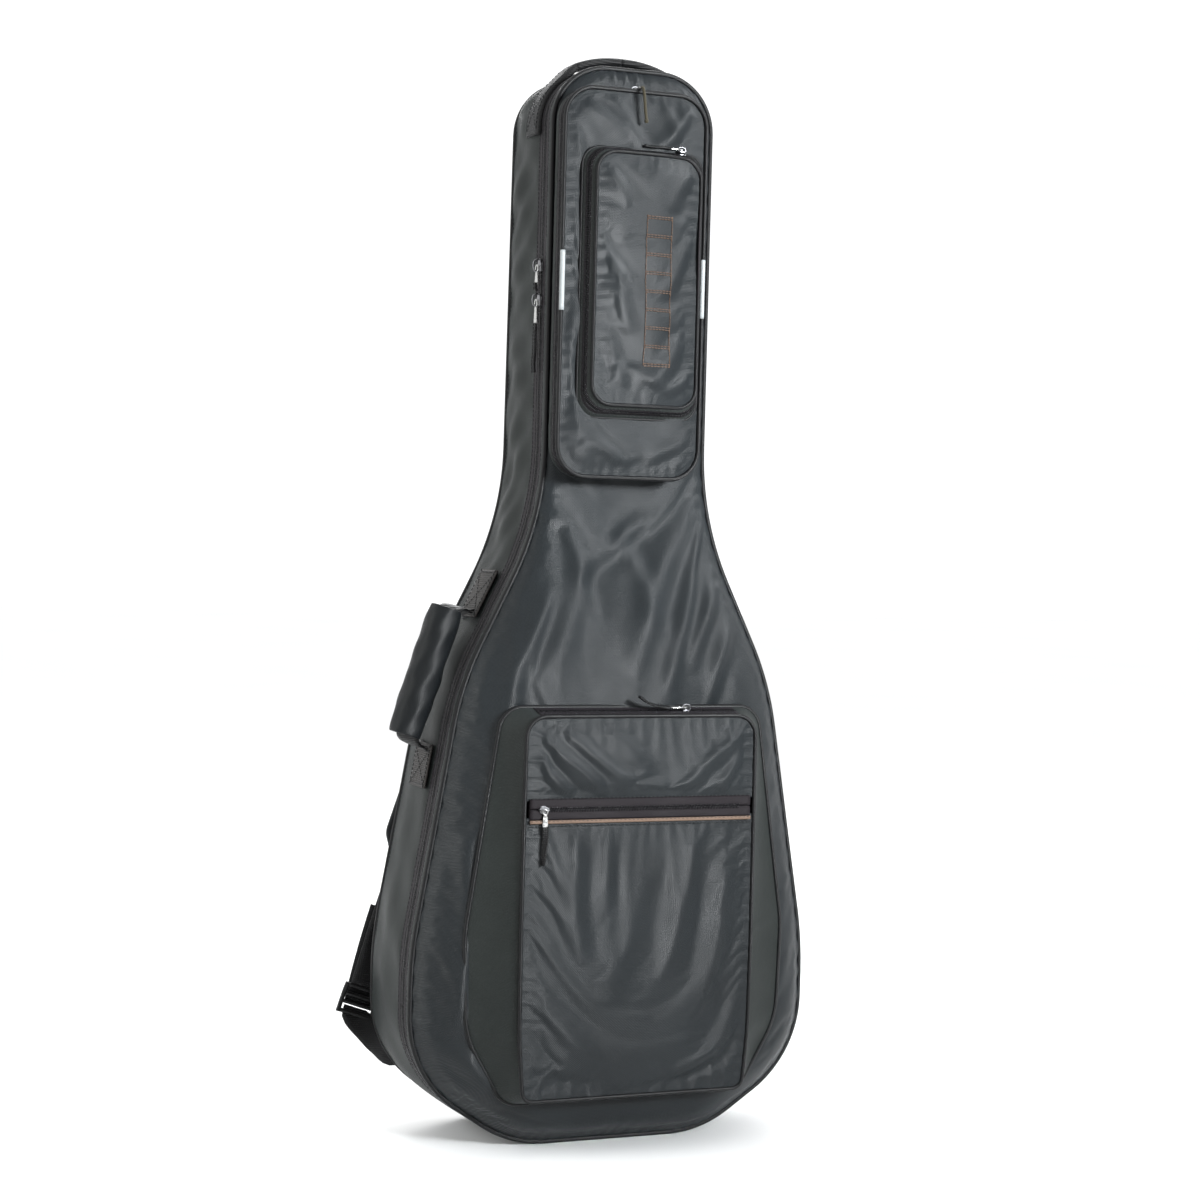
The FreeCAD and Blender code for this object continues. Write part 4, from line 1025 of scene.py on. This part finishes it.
def build_embroidery(body, host):
    """A plain ladder of bars, like a guitar's fingerboard, in outline stitching on the pocket's face."""
    lo, hi = low("embroidered_motif"), high("embroidered_motif")
    mid, half, bars = (lo[0] + hi[0]) / 2, (hi[0] - lo[0]) / 2 - 1, 9
    soup, up = Soup(), (0, -1.0, 0)
    lines = [points_at(mid + x, 0, np.linspace(lo[2], hi[2], 40)) for x in (-half, half)]
    lines += [points_at(np.linspace(mid - half, mid + half, 12), 0,
                        lo[2] + 1 + (hi[2] - lo[2] - 2) * k / (bars - 1) + dz)
              for k in range(bars) for dz in (-1.1, 1.1)]
    for line in lines:
        stitch(soup, line, up, pitch=3.6, lift=0.6)
    piece = soup.build("fingerboard_embroidery", TAN_THREAD, body, "tan_trim",
                       replaces=("embroidered_motif",))
    laid_on.append((piece, host))


laid_on = []


def settle():
    """Moves pieces built on the plane y = 0 onto the cloth that they are sewn to."""
    for piece, host in laid_on:
        tree = KDTree(len(host.data.vertices))
        for v in host.data.vertices:
            tree.insert((v.co.x, 0, v.co.z), v.index)
        tree.balance()
        for v in piece.data.vertices:
            near = tree.find_n((v.co.x, 0, v.co.z), 4)
            weights = [1 / (d + 1e-5) for _, _, d in near]
            depth = sum(w * host.data.vertices[i].co.y for w, (_, i, _) in zip(weights, near)) / sum(weights)
            v.co.y += depth


# ---------------------------------------------------------------- zip sliders and pulls
SLIDER_BEVEL = 0.25
PIVOT = 4.7  # height of a pull's pin above the middle of its zip
TAG_T, CORD_R = 1.9, 1.5


def extruded(outline, z0, z1):
    """A flat plate from an outline of points, as vertices and faces."""
    n = len(outline)
    verts = [(x, y, z0) for x, y in outline] + [(x, y, z1) for x, y in outline]
    faces = [list(range(n))[::-1], list(range(n, 2 * n))]
    faces += [[i, (i + 1) % n, n + (i + 1) % n, n + i] for i in range(n)]
    return verts, faces


def shield(length, wide, narrow):
    """A slider's plate seen from above: broad shoulders tapering to a round tail."""
    turns = [math.radians(a) for a in np.linspace(-90, 90, 9)]
    tail = [(length / 2 - narrow / 2 + narrow / 2 * math.cos(a), narrow / 2 * math.sin(a)) for a in turns]
    flank = [(0, wide / 2 * 0.96), (-length * 0.3, wide / 2), (-length / 2 + 1, wide / 2 * 0.8),
             (-length / 2, wide / 2 * 0.3)]
    return tail + flank + [(x, -y) for x, y in flank[::-1]]


def oval(rx, ry, n=20):
    return [(rx * math.cos(a), ry * math.sin(a)) for a in np.arange(n) * 2 * math.pi / n]


def placed(verts, origin, along, out, k):
    """From a slider's own frame, X along the zip and Z outwards, into the bag's."""
    verts = np.asarray(verts, float) * k
    across = np.cross(out, along)
    return origin + verts[:, :1] * along + verts[:, 1:2] * across + verts[:, 2:3] * out


def bevelled(piece):
    modifier = piece.modifiers.new("bevel", "BEVEL")
    modifier.width, modifier.segments, modifier.limit_method = SLIDER_BEVEL * MM, 2, "ANGLE"


def build_slider(name, out, along, k, across, length, tag_points, twist, tag_width):
    """A slider with its bridge, and its pull: a metal tab of a length, then a tag, or a cord of no width.

    k scales it; across is true where the pull hangs across its zip instead of along it.
    """
    slider, pull = name + "_zip_slider", name + "_zip_pull"
    out, along = np.array(out, float), np.array(along, float)
    pivot = np.array(JOINTS[name + "_pull_swing"]["pos_m"]) / MM
    origin = pivot - out * PIVOT * k
    flank = ((-4.5, 3.9), (2.5, 3.5), (2.5, 4.2), (-4.5, 4.4))
    plates = [(shield(11.5, 8.6, 4.6), 2.1, 3.1), (shield(11.5, 8.6, 4.6), -2.3, -1.3)]
    plates += [([(x, side * y) for x, y in flank][::side], 1.2, 2.2) for side in (-1, 1)]
    soup = Soup()
    for outline, z0, z1 in plates:
        verts, faces = extruded(outline, z0, z1)
        soup.add(placed(verts, origin, along, out, k), faces)
    half_arch = [(4.9, 0, 2.6), (4.7, 0, 5.2), (3.4, 0, 7.3)]
    arch = [(-x, y, z) for x, y, z in half_arch] + [(0, 0, 7.9)] + half_arch[::-1]
    add_tube(soup, placed(resample(np.array(arch, float), 1.2), origin, along, out, k), 0.75 * k, sides=8)
    bevelled(soup.build(name + "_slider_metal", STEEL, slider, "slider_metal", replaces=(name + "_slider",),
                        smooth=False))
    lie = -np.cross(out, along) if across else -along
    wide = np.cross(out, lie)
    soup = Soup()
    ring = pivot + np.array([lie * (2.2 + x) * k + wide * y * k for x, y in oval(2.6, 2.7)])
    add_tube(soup, ring, 0.7 * k, closed=True, sides=8)
    stem = [(4.6, 1.5), (7.5, 2.4), (length - 4, 3.1), (length - 1.2, 2.6), (length, 1.4)]
    verts, faces = extruded(stem + [(x, -y) for x, y in reversed(stem)], -0.6, 0.6)
    soup.add(pivot + (np.array(verts) * k) @ np.stack([lie, wide, out]), faces)
    bevelled(soup.build(name + "_pull_tab", BRIGHT, pull, "pull_metal", replaces=(name + "_pull",),
                        smooth=False))
    tag = Soup()
    points = smooth_path(pivot + np.array([lie * a * k + out * b * k + wide * c * k for a, b,
                                           c in tag_points]), 2.0)
    if not tag_width:
        add_tube(tag, points, CORD_R)
        add_tube(tag, points[-3:], np.array([1.9, 2.2, 1.5]))
        tag.build(name + "_pull_cord", CORD, pull, "pull_metal")
        return
    sides = np.array([rotate(wide, lie, t) for t in np.linspace(0, twist, len(points))])
    along_tag = along_of(points)
    sides = unit(sides - along_tag * (sides * along_tag).sum(1, keepdims=True))
    ups = np.cross(along_tag, sides)
    taper = 1 - 0.25 * np.linspace(0, 1, len(points)) ** 3
    add_ribbon(tag, points, sides, ups, tag_width * taper, TAG_T, 0.3, 7)
    for side in (-1, 1):
        stitch(tag, points + sides * side * tag_width * 0.33 + ups * 1.15, ups, pitch=3.6)
    tag.build(name + "_pull_tag", WEBBING, pull, "pull_metal")


def rotate(v, axis, degrees):
    """Turns a vector about an axis through the origin."""
    a = math.radians(degrees)
    axis = unit(np.asarray(axis, float))
    v = np.asarray(v, float)
    return v * math.cos(a) + np.cross(axis, v) * math.sin(a) + axis * (axis @ v) * (1 - math.cos(a))


def smooth_path(points, step):
    """A rounded line through given points (three rounds of corner cutting)."""
    for _ in range(3):
        a, b = points[:-1], points[1:]
        cut = np.stack([a * 0.75 + b * 0.25, a * 0.25 + b * 0.75], 1).reshape(-1, 3)
        points = np.vstack([points[:1], cut[1:-1], points[-1:]])
    return resample(points, step)


def build_sliders():
    x, y, z = np.eye(3)
    top = lower_top_axes()[1]
    for slider in (
            ("main_upper", -x, z, 1.25, False, 16,
             ((13.5, 0.9, 0), (16, 1.1, 0), (18.5, 0.6, 0), (20, 0, 0)), 0, 6.0),
            ("main_lower", -x, z, 1.25, False, 20,
             ((18, 0, 0), (28, 0.6, 0.2), (40, 0, -0.4), (50, 1.2, 0.4), (57, 0.4, 0)), -12, 6.5),
            ("neck_pocket", z, x, 0.9, True, 18,
             ((16, 0, 0), (20, 0.5, 0), (22.5, -5, 0.5), (23, -16, 1.5), (22.5, -28, 3), (23.5, -39, 4)), 0,
             0),
            ("small_pocket", z, x, 0.8, False, 18,
             ((16, 0, 0), (26, 0.8, 0.4), (38, -0.2, -0.5), (51, 0.6, 0)), 8, 5.5),
            ("lower_pocket", top, x, 0.9, False, 22,
             ((20, 0, 0), (32, 0.6, 0), (44, 3.5, 0.4), (53, 8.5, 0.8), (58, 12.5, 1.0)), 10, 7.0),
            ("document", -y, x, 0.9, True, 20,
             ((18, 0, 0), (30, 0.8, 0.5), (42, 0.2, -0.6), (52, 1.2, -1.0), (59, 0.4, -1.4)), 70, 6.5)):
        build_slider(*slider)


# ---------------------------------------------------------------- handles
HANDLE = JOINTS["carry_handle_swing"]
HANDLE_REST, HANDLE_LENGTH, GRIP_REACH, GRIP_LENGTH = -45.0, 143.0, 30.5, 132.0
GRIP_FLAT = 0.94  # the grip's depth as a share of its width


def handle_frame():
    """The carry handle's pivot line and the direction that its grip stands in."""
    pivot, down = np.array(HANDLE["pos_m"]) / MM, unit(np.array(HANDLE["axis"]))
    outwards = np.array([down[2], 0, -down[0]])
    return pivot, down, outwards, rotate(outwards, down, HANDLE_REST)


def build_carry_handle():
    pivot, down, outwards, lean = handle_frame()
    length = HANDLE_LENGTH
    wide = np.cross(down, lean)
    # grip: a padded roll wrapped round the webbing, its lip closed along one side
    turns, stations = 36, 60
    soup = Soup()
    centre = pivot + down * length / 2 + lean * GRIP_REACH
    ring = np.linspace(0, 2 * math.pi, turns, endpoint=False)

    def ring_at(share, r):
        spot = centre + down * share * GRIP_LENGTH
        return spot + (np.cos(ring) * r)[:, None] * lean * GRIP_FLAT + (np.sin(ring) * r)[:, None] * wide

    grid = []
    for share in np.linspace(-0.5, 0.5, stations):
        end = 1 - 0.10 * (abs(share) * 2) ** 6
        radius = 17.6 * end + 0.5 * math.sin(share * 21) * math.cos(share * 9)
        dent = 1.3 * np.exp(-((ring - 2.2) / 0.16) ** 2)
        rumple = 0.35 * np.sin(3 * ring + share * 14) + 0.3 * np.sin(5 * ring - share * 23)
        grid.append(ring_at(share, radius - dent + rumple))
    closing = ((0.465, 4.0), (0.485, 9.0), (0.5, 14.0))
    grid = [ring_at(-t, r) for t, r in closing] + grid + [ring_at(t, r) for t, r in closing[::-1]]
    soup.add(np.stack(grid), capped(len(grid), turns))
    grip = soup.build("carry_handle_padded_grip", WRAP, "carry_handle", "handle_wrap",
                      replaces=("carry_handle_grip",), subdivide=1)
    seam = Soup()
    for angle in (2.02, 2.38):
        line = [centre + down * s * GRIP_LENGTH
                + (math.cos(angle) * lean * GRIP_FLAT + math.sin(angle) * wide) * 17.7
                for s in np.linspace(-0.47, 0.47, 30)]
        stitch(seam, np.array(line), math.cos(angle) * lean + math.sin(angle) * wide)
    seam.build("carry_handle_grip_stitches", THREAD, "carry_handle", "handle_wrap")
    # webbing: from each patch out to the grip and along through it
    half = length / 2
    centre_line = pivot + down * half
    for sign in (-1, 1):
        end = centre_line + down * sign * half
        foot = end - outwards * 14.5 - down * sign * 3.0
        points = np.array([foot, end - outwards * 6, end + lean * 2, end + lean * 12 - down * sign * 0.5,
                           end + lean * 24 - down * sign * 5, end + lean * GRIP_REACH - down * sign * 22,
                           end + lean * GRIP_REACH - down * sign * 34])
        points = smooth_path(points, 2.0)
        soup = Soup()
        along = along_of(points)
        side = unit(wide - along * (along @ wide)[:, None])
        narrow = 25.0 + 10.0 * np.clip(1 - np.arange(len(points)) / 10.0, 0, 1)
        add_ribbon(soup, points, side, np.cross(along, side), narrow, 2.4, 0.2)
        where = "upper" if sign < 0 else "lower"
        piece = soup.build("carry_handle_%s_webbing" % where, WEBBING, None, "webbing_black",
                           replaces=("carry_handle_webbing",))
        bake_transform(piece)
    build_patches([(centre_line + down * sign * half)[2] for sign in (-1, 1)])


def on_left(z_low, z_high):
    """Indices of the bag's left edge between two heights, from the bottom up."""
    keep = (BAG_LOOP.z > z_low) & (BAG_LOOP.z < z_high) & (BAG_LOOP.n[:, 0] < 0)
    order = np.nonzero(keep)[0]
    return order[np.argsort(BAG_LOOP.z[order])]


def build_patches(heights):
    """The carry handle's webbing patches, sewn flat on the gusset with box stitching."""
    soup, seam = Soup(), Soup()
    y_mid = HANDLE["pos_m"][1] / MM
    for z, up in zip(heights, (1, -1)):
        z = z - 4
        order = on_left(*sorted((z - up * 8, z + up * 42)))
        data = resample(np.hstack([BAG_LOOP.at(-5.4, y_mid)[order], BAG_LOOP.out[order]]), 3.0)
        path, out = data[:, :3], unit(data[:, 3:])
        add_ribbon(soup, path, (0, 1, 0), out, 47.0, 2.2, 0.4, 9)
        for dy in (-20, 20):
            stitch(seam, path + (0, dy, 0) + out * 1.4, out)
        for k in (1, -2):
            stitch(seam, path[k] + points_at(0, np.linspace(-20, 20, 10), 0) + out[k] * 1.5, out[k])
        for a in (-20, 20):
            slant = points_at(0, np.linspace(a, -a, len(path) - 3), 0)
            stitch(seam, path[1:-2] + slant + out[1:-2] * 1.6, out[1:-2])
    soup.build("carry_handle_patch_webbing", PATCH, "rear_shell", "webbing_grey_brown",
               replaces=("carry_handle_patches",))
    seam.build("carry_handle_patch_stitches", THREAD, "rear_shell", "webbing_grey_brown")


GRAB_T, GRAB_FREE = 7.4, 50.0  # the webbing's thickness, and half the length of its free arch


def build_grab_handle():
    """Arched webbing over the head end, its ends sewn down both top corners."""
    mid = JOINTS["grab_handle_swing"]["pos_m"][1] / MM
    top = high("grab_handle_webbing")[2] - 3.8
    loop = BAG_LOOP
    # centre line: up the left corner, over in an arch, down the right corner
    keep = (loop.z > BAG_H - 62) & (np.abs(loop.x) > 52)
    left = [p for p in loop.at(-2.6, mid)[keep] if p[0] < 0]
    left = np.array(sorted(left, key=lambda p: p[2]))
    xs = np.linspace(-50, 50, 21)
    arch = points_at(xs, mid, top - 12.5 * (np.abs(xs) / 56) ** 2.2)
    right = (left * np.array([-1, 1, 1]))[::-1]
    points = smooth_path(np.vstack([left[::3], arch, right[::3]]), 2.5)
    along = along_of(points)
    up = np.cross(along, (0, 1.0, 0))
    up = np.where(up[:, 2:] < 0, -up, up)
    x = points[:, 0]
    width = 34.0 - 3.0 * np.exp(-(x / 30) ** 2)
    first, last = np.nonzero(np.abs(x) < GRAB_FREE)[0][[0, -1]]

    def band(soup, keep):
        add_ribbon(soup, points[keep], (0, 1, 0), up[keep], width[keep], GRAB_T, 0.4, 9)
        return soup

    ends = band(band(Soup(), slice(0, first + 1)), slice(last, None))
    half = (last - first) // 2
    for side, sign, keep in (("left", -1, slice(first, first + half + 1)),
                             ("right", 1, slice(last - half, last + 1))):
        arch = band(Soup(), keep).build("grab_handle_%s_arch" % side, WEBBING, None, "webbing_black",
                                        replaces=("grab_handle_webbing",))
        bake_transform(arch)
    ends.build("grab_handle_sewn_ends", WEBBING, "rear_shell", "webbing_grey_brown",
               replaces=("grab_handle_patches",))
    seam = Soup()
    for keep in (slice(2, first - 1), slice(last + 2, len(points) - 2)):
        for dy in (-13, 13):
            stitch(seam, points[keep] + (0, dy, 0) + up[keep] * (GRAB_T / 2 + 0.1), up[keep])
        part, out = points[keep], up[keep]
        n = min(len(part), 16)
        pick = slice(0, n) if part[0, 2] < part[-1, 2] else slice(len(part) - n, len(part))
        for a in (-13, 13):
            slant = points_at(0, np.linspace(a, -a, n), 0)
            stitch(seam, part[pick] + slant + out[pick] * (GRAB_T / 2 + 0.3), out[pick])
    seam.build("grab_handle_stitches", THREAD, "rear_shell", "webbing_grey_brown")


# ---------------------------------------------------------------- shoulder straps
STRAP_BOW, STRAP_PAD_L = 24.0, 390.0
BUCKLE_L, BUCKLE_W = 32.0, 21.0
WEB_EDGE = 4.0  # how far a webbing's square corner reaches below its middle


def strap_axes(side):
    """Start, along, across and outward directions of a strap, from its joint."""
    joint = JOINTS[side + "_strap_swing"]
    start, along = np.array(joint["pos_m"]) / MM, unit(np.array(joint["axis"]))
    out = unit(np.array([0, 1.0, 0]) - along * along[1])
    return start, along, np.cross(out, along), out


def strap_length(side):
    """Distance from the yoke to the buckle along the chord."""
    start, along = strap_axes(side)[:2]
    return (start[2] - low(side + "_strap_webbing")[2]) / -along[2] - WEB_EDGE


def bow_at(s, length):
    """How far the strap stands off its chord, as a circle's arc."""
    radius = (length ** 2 / 4 + STRAP_BOW ** 2) / (2 * STRAP_BOW)
    return np.sqrt(np.maximum(radius ** 2 - (s - length / 2) ** 2, 0)) - (radius - STRAP_BOW)


def build_strap(side):
    body = side + "_shoulder_strap"
    start, along, across, out = strap_axes(side)
    length = strap_length(side)
    s, sides = np.linspace(4, STRAP_PAD_L, 110), 40
    half = 13 + 17 * ease((s - 4) / 60) - 9 * ease((s - STRAP_PAD_L + 24) / 24) ** 2
    ring = np.linspace(0, 2 * math.pi, sides, endpoint=False)
    cos, sin = np.cos(ring), np.sin(ring)
    grid = []
    for a, h in zip(s, half):
        w = np.sign(cos) * np.abs(cos) ** 0.55 * h
        channel = 0.72 + 0.28 * np.clip(np.abs(np.abs(w) - h * 0.86) / 2.2, 0, 1)
        thick = np.sign(sin) * np.abs(sin) ** 0.8 * 5.6 * channel
        thick = thick + 0.5 * np.sin(a / 21 + w / 9) * (np.abs(sin) > 0.3)
        grid.append(start + along * a + out * bow_at(a, length) + w[:, None] * across + thick[:, None] * out)
    pad = make(side + "_strap_padding", np.concatenate(grid), capped(len(grid), sides), STRAP, body,
               "strap_fabric",
               replaces=(side + "_strap_pad",), subdivide=1)
    seam = Soup()
    for sign in (-1, 1):
        for face in (-1, 1):
            line = [start + along * a + out * (bow_at(a, length) + face * 4.3) + across * sign * h * 0.86
                    for a, h in zip(s[2:-2], half[2:-2])]
            stitch(seam, np.array(line), out * face)
    # webbing laid on the pad's lower end, sewn in a box, then down to the buckle
    web = np.linspace(STRAP_PAD_L - 75, length, 60)
    rise = 6.6 * (1 - ease((web - STRAP_PAD_L + 2) / 16))
    line = start + along * web[:, None] + out * (bow_at(web, length) + rise)[:, None]
    soup = Soup()
    tangent = along_of(line)
    add_ribbon(soup, line, across, np.cross(tangent, across), 30.0, 2.0, 0.2)
    # the loose tail hangs back from the buckle
    tail = np.array([[length + 18, 3.2, 0], [length + 4, 6.5, 1], [length - 22, 8.0, 2],
                     [length - 52, 9.0, 2.5],
                     [length - 80, 10.5, 2]])
    tail = smooth_path(np.array([start + along * a + out * (bow_at(min(a, length), length) + b) + across * c
                                 for a, b, c in tail]), 3.0)
    tangent = along_of(tail)
    add_ribbon(soup, tail, across, np.cross(tangent, across), 29.0, 1.8, 0.2)
    soup.build(side + "_strap_web", WEBBING, body, "webbing_black", replaces=(side + "_strap_webbing",))
    for dy in (-12, 12):
        stitch(seam, line[2:30] + across * dy + out * 1.4, out)
    for a in (-12, 12):
        stitch(seam, line[4:28] + across * np.linspace(a, -a, 24)[:, None] + out * 1.5, out)
    seam.build(side + "_strap_stitches", THREAD, body, "strap_fabric")
    build_buckle(side, body, start + along * length, along, across, out)


def build_buckle(side, body, base, along, across, out):
    """A moulded ladder lock: two side rails and four cross bars."""
    soup = Soup()
    for sign in (-1, 1):
        rail = [base + along * a + across * sign * (BUCKLE_W - 2.6) + out * b
                for a, b in ((0.5, 0.4), (8, 1.2), (18, 1.0), (26, 0.2), (31.5, -0.6))]
        add_tube(soup, resample(np.array(rail), 2.0), 2.5, sides=10)
    for a, b, r in ((2.2, 0.3, 2.0), (11.3, 1.6, 2.1), (19.7, 1.2, 2.1), (29.2, -0.2, 2.2)):
        bar = np.array([base + along * a + out * b + across * sign * (BUCKLE_W - 3) for sign in (-1, 1)])
        add_tube(soup, resample(bar, 4.0), r, sides=10)
    soup.build(side + "_ladder_lock", BUCKLE, body, "buckle_plastic", replaces=(side + "_strap_buckle",))


def build_yoke():
    z0, z1, half = low("strap_yoke")[2], high("strap_yoke")[2], 61
    xs, rows = np.linspace(-half, half, 50), []
    for t in np.linspace(0, 1, 26):
        z = z0 + (z1 - z0) * t
        edge = np.minimum(np.minimum(half - np.abs(xs), (1 - t) * 70), t * 70 + 4)
        puff = 6.5 * (1 - np.clip(1 - edge / 12, 0, 1) ** 2) + 3.0 * (1 - t)
        straps = 5.0 * (1 - t) ** 1.5 * np.exp(-((np.abs(xs) - 38) / 15) ** 2)
        groove = -1.6 * np.exp(-((edge - 7) / 1.6) ** 2)
        rows.append(points_at(xs, back_y(z) + 3.0 + puff + straps + groove, z))
    piece = surface("strap_yoke_padding", np.stack(rows), STRAP, "rear_shell", "strap_fabric", flip=True,
                    replaces=("strap_yoke",), thick=5.0, subdivide=1)


def build_lower_tabs():
    soup, seam = Soup(), Soup()
    for side, sign in (("left", -1), ("right", 1)):
        start, along, across, out = strap_axes(side)
        tip = start + along * (strap_length(side) + BUCKLE_L - 3.0)
        low_seam, high_seam = np.array([sign * 176, 0, 52.0]), np.array([sign * 202, 0, 94.0])
        for p in (low_seam, high_seam):
            p[1] = back_y(p[2]) + 1.8
        seam_mid, seam_dir = (low_seam + high_seam) / 2, unit(high_seam - low_seam)
        inward = np.array([-sign * 0.85, 0, 0.53])
        points = np.array([tip - along * 6 + out * 3, tip + out * 2.0, tip + along * 3.2,
                           tip * 0.45 + seam_mid * 0.55 + out * 2,
                           seam_mid, seam_mid + inward * 10])
        points = smooth_path(points, 2.0)
        t = np.linspace(0, 1, len(points))[:, None]
        line_dir = along_of(points)
        sides = unit(across * sign * (1 - t) + seam_dir * t)
        sides = unit(sides - line_dir * (sides * line_dir).sum(1, keepdims=True))
        ups = np.cross(line_dir, sides)
        ups = np.where((ups @ out)[:, None] < 0, -ups, ups)
        add_ribbon(soup, points, sides, ups, 26 + 12 * t[:, 0] ** 2, 2.2, 0.2)
        for dy in (-9, 9):
            stitch(seam, points[2:] + sides[2:] * dy + ups[2:] * 1.3, ups[2:])
    soup.build("strap_tab_webbing", WEBBING, "rear_shell", "webbing_black", replaces=("strap_lower_tabs",))
    seam.build("strap_tab_stitches", THREAD, "rear_shell", "webbing_black")


# ---------------------------------------------------------------- stage
def build_stage():
    size = 14.0  # metres each way from the bag
    mesh = bpy.data.meshes.new("floor")
    mesh.from_pydata([(-size, -size, 0), (size, -size, 0), (size, size, 0), (-size, size, 0)], [],
                     [(0, 1, 2, 3)])
    floor = bpy.data.objects.new("floor", mesh)
    n = Nodes("floor_pale")
    n.link(n.ramp(n.noise(2.0), (0.93, 0.93, 0.93), (0.95, 0.95, 0.95)), "Base Color")
    n.shader.inputs["Roughness"].default_value = 0.8
    mesh.materials.append(n.material)
    bpy.context.scene.collection.objects.link(floor)


def area_light(name, place, aim, size, power, colour=(1, 1, 1), spread=180.0):
    data = bpy.data.lights.new(name, "AREA")
    data.shape, data.size, data.size_y = "RECTANGLE", size[0], size[1]
    data.energy, data.color, data.spread = power, colour, math.radians(spread)
    light = bpy.data.objects.new(name, data)
    bpy.context.scene.collection.objects.link(light)
    place = Vector(place)
    turn = (Vector(aim) - place).to_track_quat("-Z", "Y").to_matrix().to_4x4()
    light.matrix_world = Matrix.Translation(place) @ turn


SKY, FRONT_SKY = 1.22, 0.20  # strength of the even light, and of its low part in front of the bag


def build_lights():
    world = bpy.data.worlds.new("studio")
    bpy.context.scene.world = world
    world.use_nodes = True
    background = world.node_tree.nodes["Background"]
    background.inputs["Color"].default_value = (0.99, 0.995, 1.0, 1)
    nodes, links = world.node_tree.nodes, world.node_tree.links
    split = nodes.new("ShaderNodeSeparateXYZ")
    links.new(nodes.new("ShaderNodeTexCoord").outputs["Generated"], split.inputs[0])
    dark = None
    for axis, start, end in (("Y", -0.35, 0.25), ("Z", 0.30, 0.80)):
        fade = nodes.new("ShaderNodeMapRange")
        fade.interpolation_type = "SMOOTHSTEP"
        fade.inputs["From Min"].default_value, fade.inputs["From Max"].default_value = start, end
        fade.inputs["To Min"].default_value, fade.inputs["To Max"].default_value = 1.0, 0.0
        links.new(split.outputs[axis], fade.inputs["Value"])
        if dark:  # the second fade starts from what the first one leaves
            links.new(dark, fade.inputs["To Min"])
        dark = fade.outputs["Result"]
    strength = nodes.new("ShaderNodeMapRange")
    strength.inputs["To Min"].default_value, strength.inputs["To Max"].default_value = SKY, FRONT_SKY
    links.new(dark, strength.inputs["Value"])
    links.new(strength.outputs["Result"], background.inputs["Strength"])
    aim = (0, 0, 0.55)
    area_light("key", (1.35, -2.6, 1.45), (0, 0, 0.78), (1.0, 0.8), 17, (0.95, 0.98, 1.0), 42)
    area_light("side", (-3.0, 0.2, 1.7), aim, (0.9, 1.7), 36, (0.97, 1.0, 0.98))
    area_light("rim", (0.9, 2.6, 2.0), aim, (1.6, 1.2), 45)
    bpy.context.scene.view_settings.view_transform = "Standard"


# ---------------------------------------------------------------- build everything
build_stage()
build_lights()
build_front_panel()
build_rear_gusset()
build_back_panel()
build_band()
build_hinge_cloth()
build_main_zip()
build_linings()
build_edges()
build_wear_pad()
build_lower_pocket()
build_neck_pocket()
build_small_pocket()
build_sliders()
build_carry_handle()
build_grab_handle()
for strap_side in ("left", "right"):
    build_strap(strap_side)
build_yoke()
build_lower_tabs()
run_cloth()
settle()
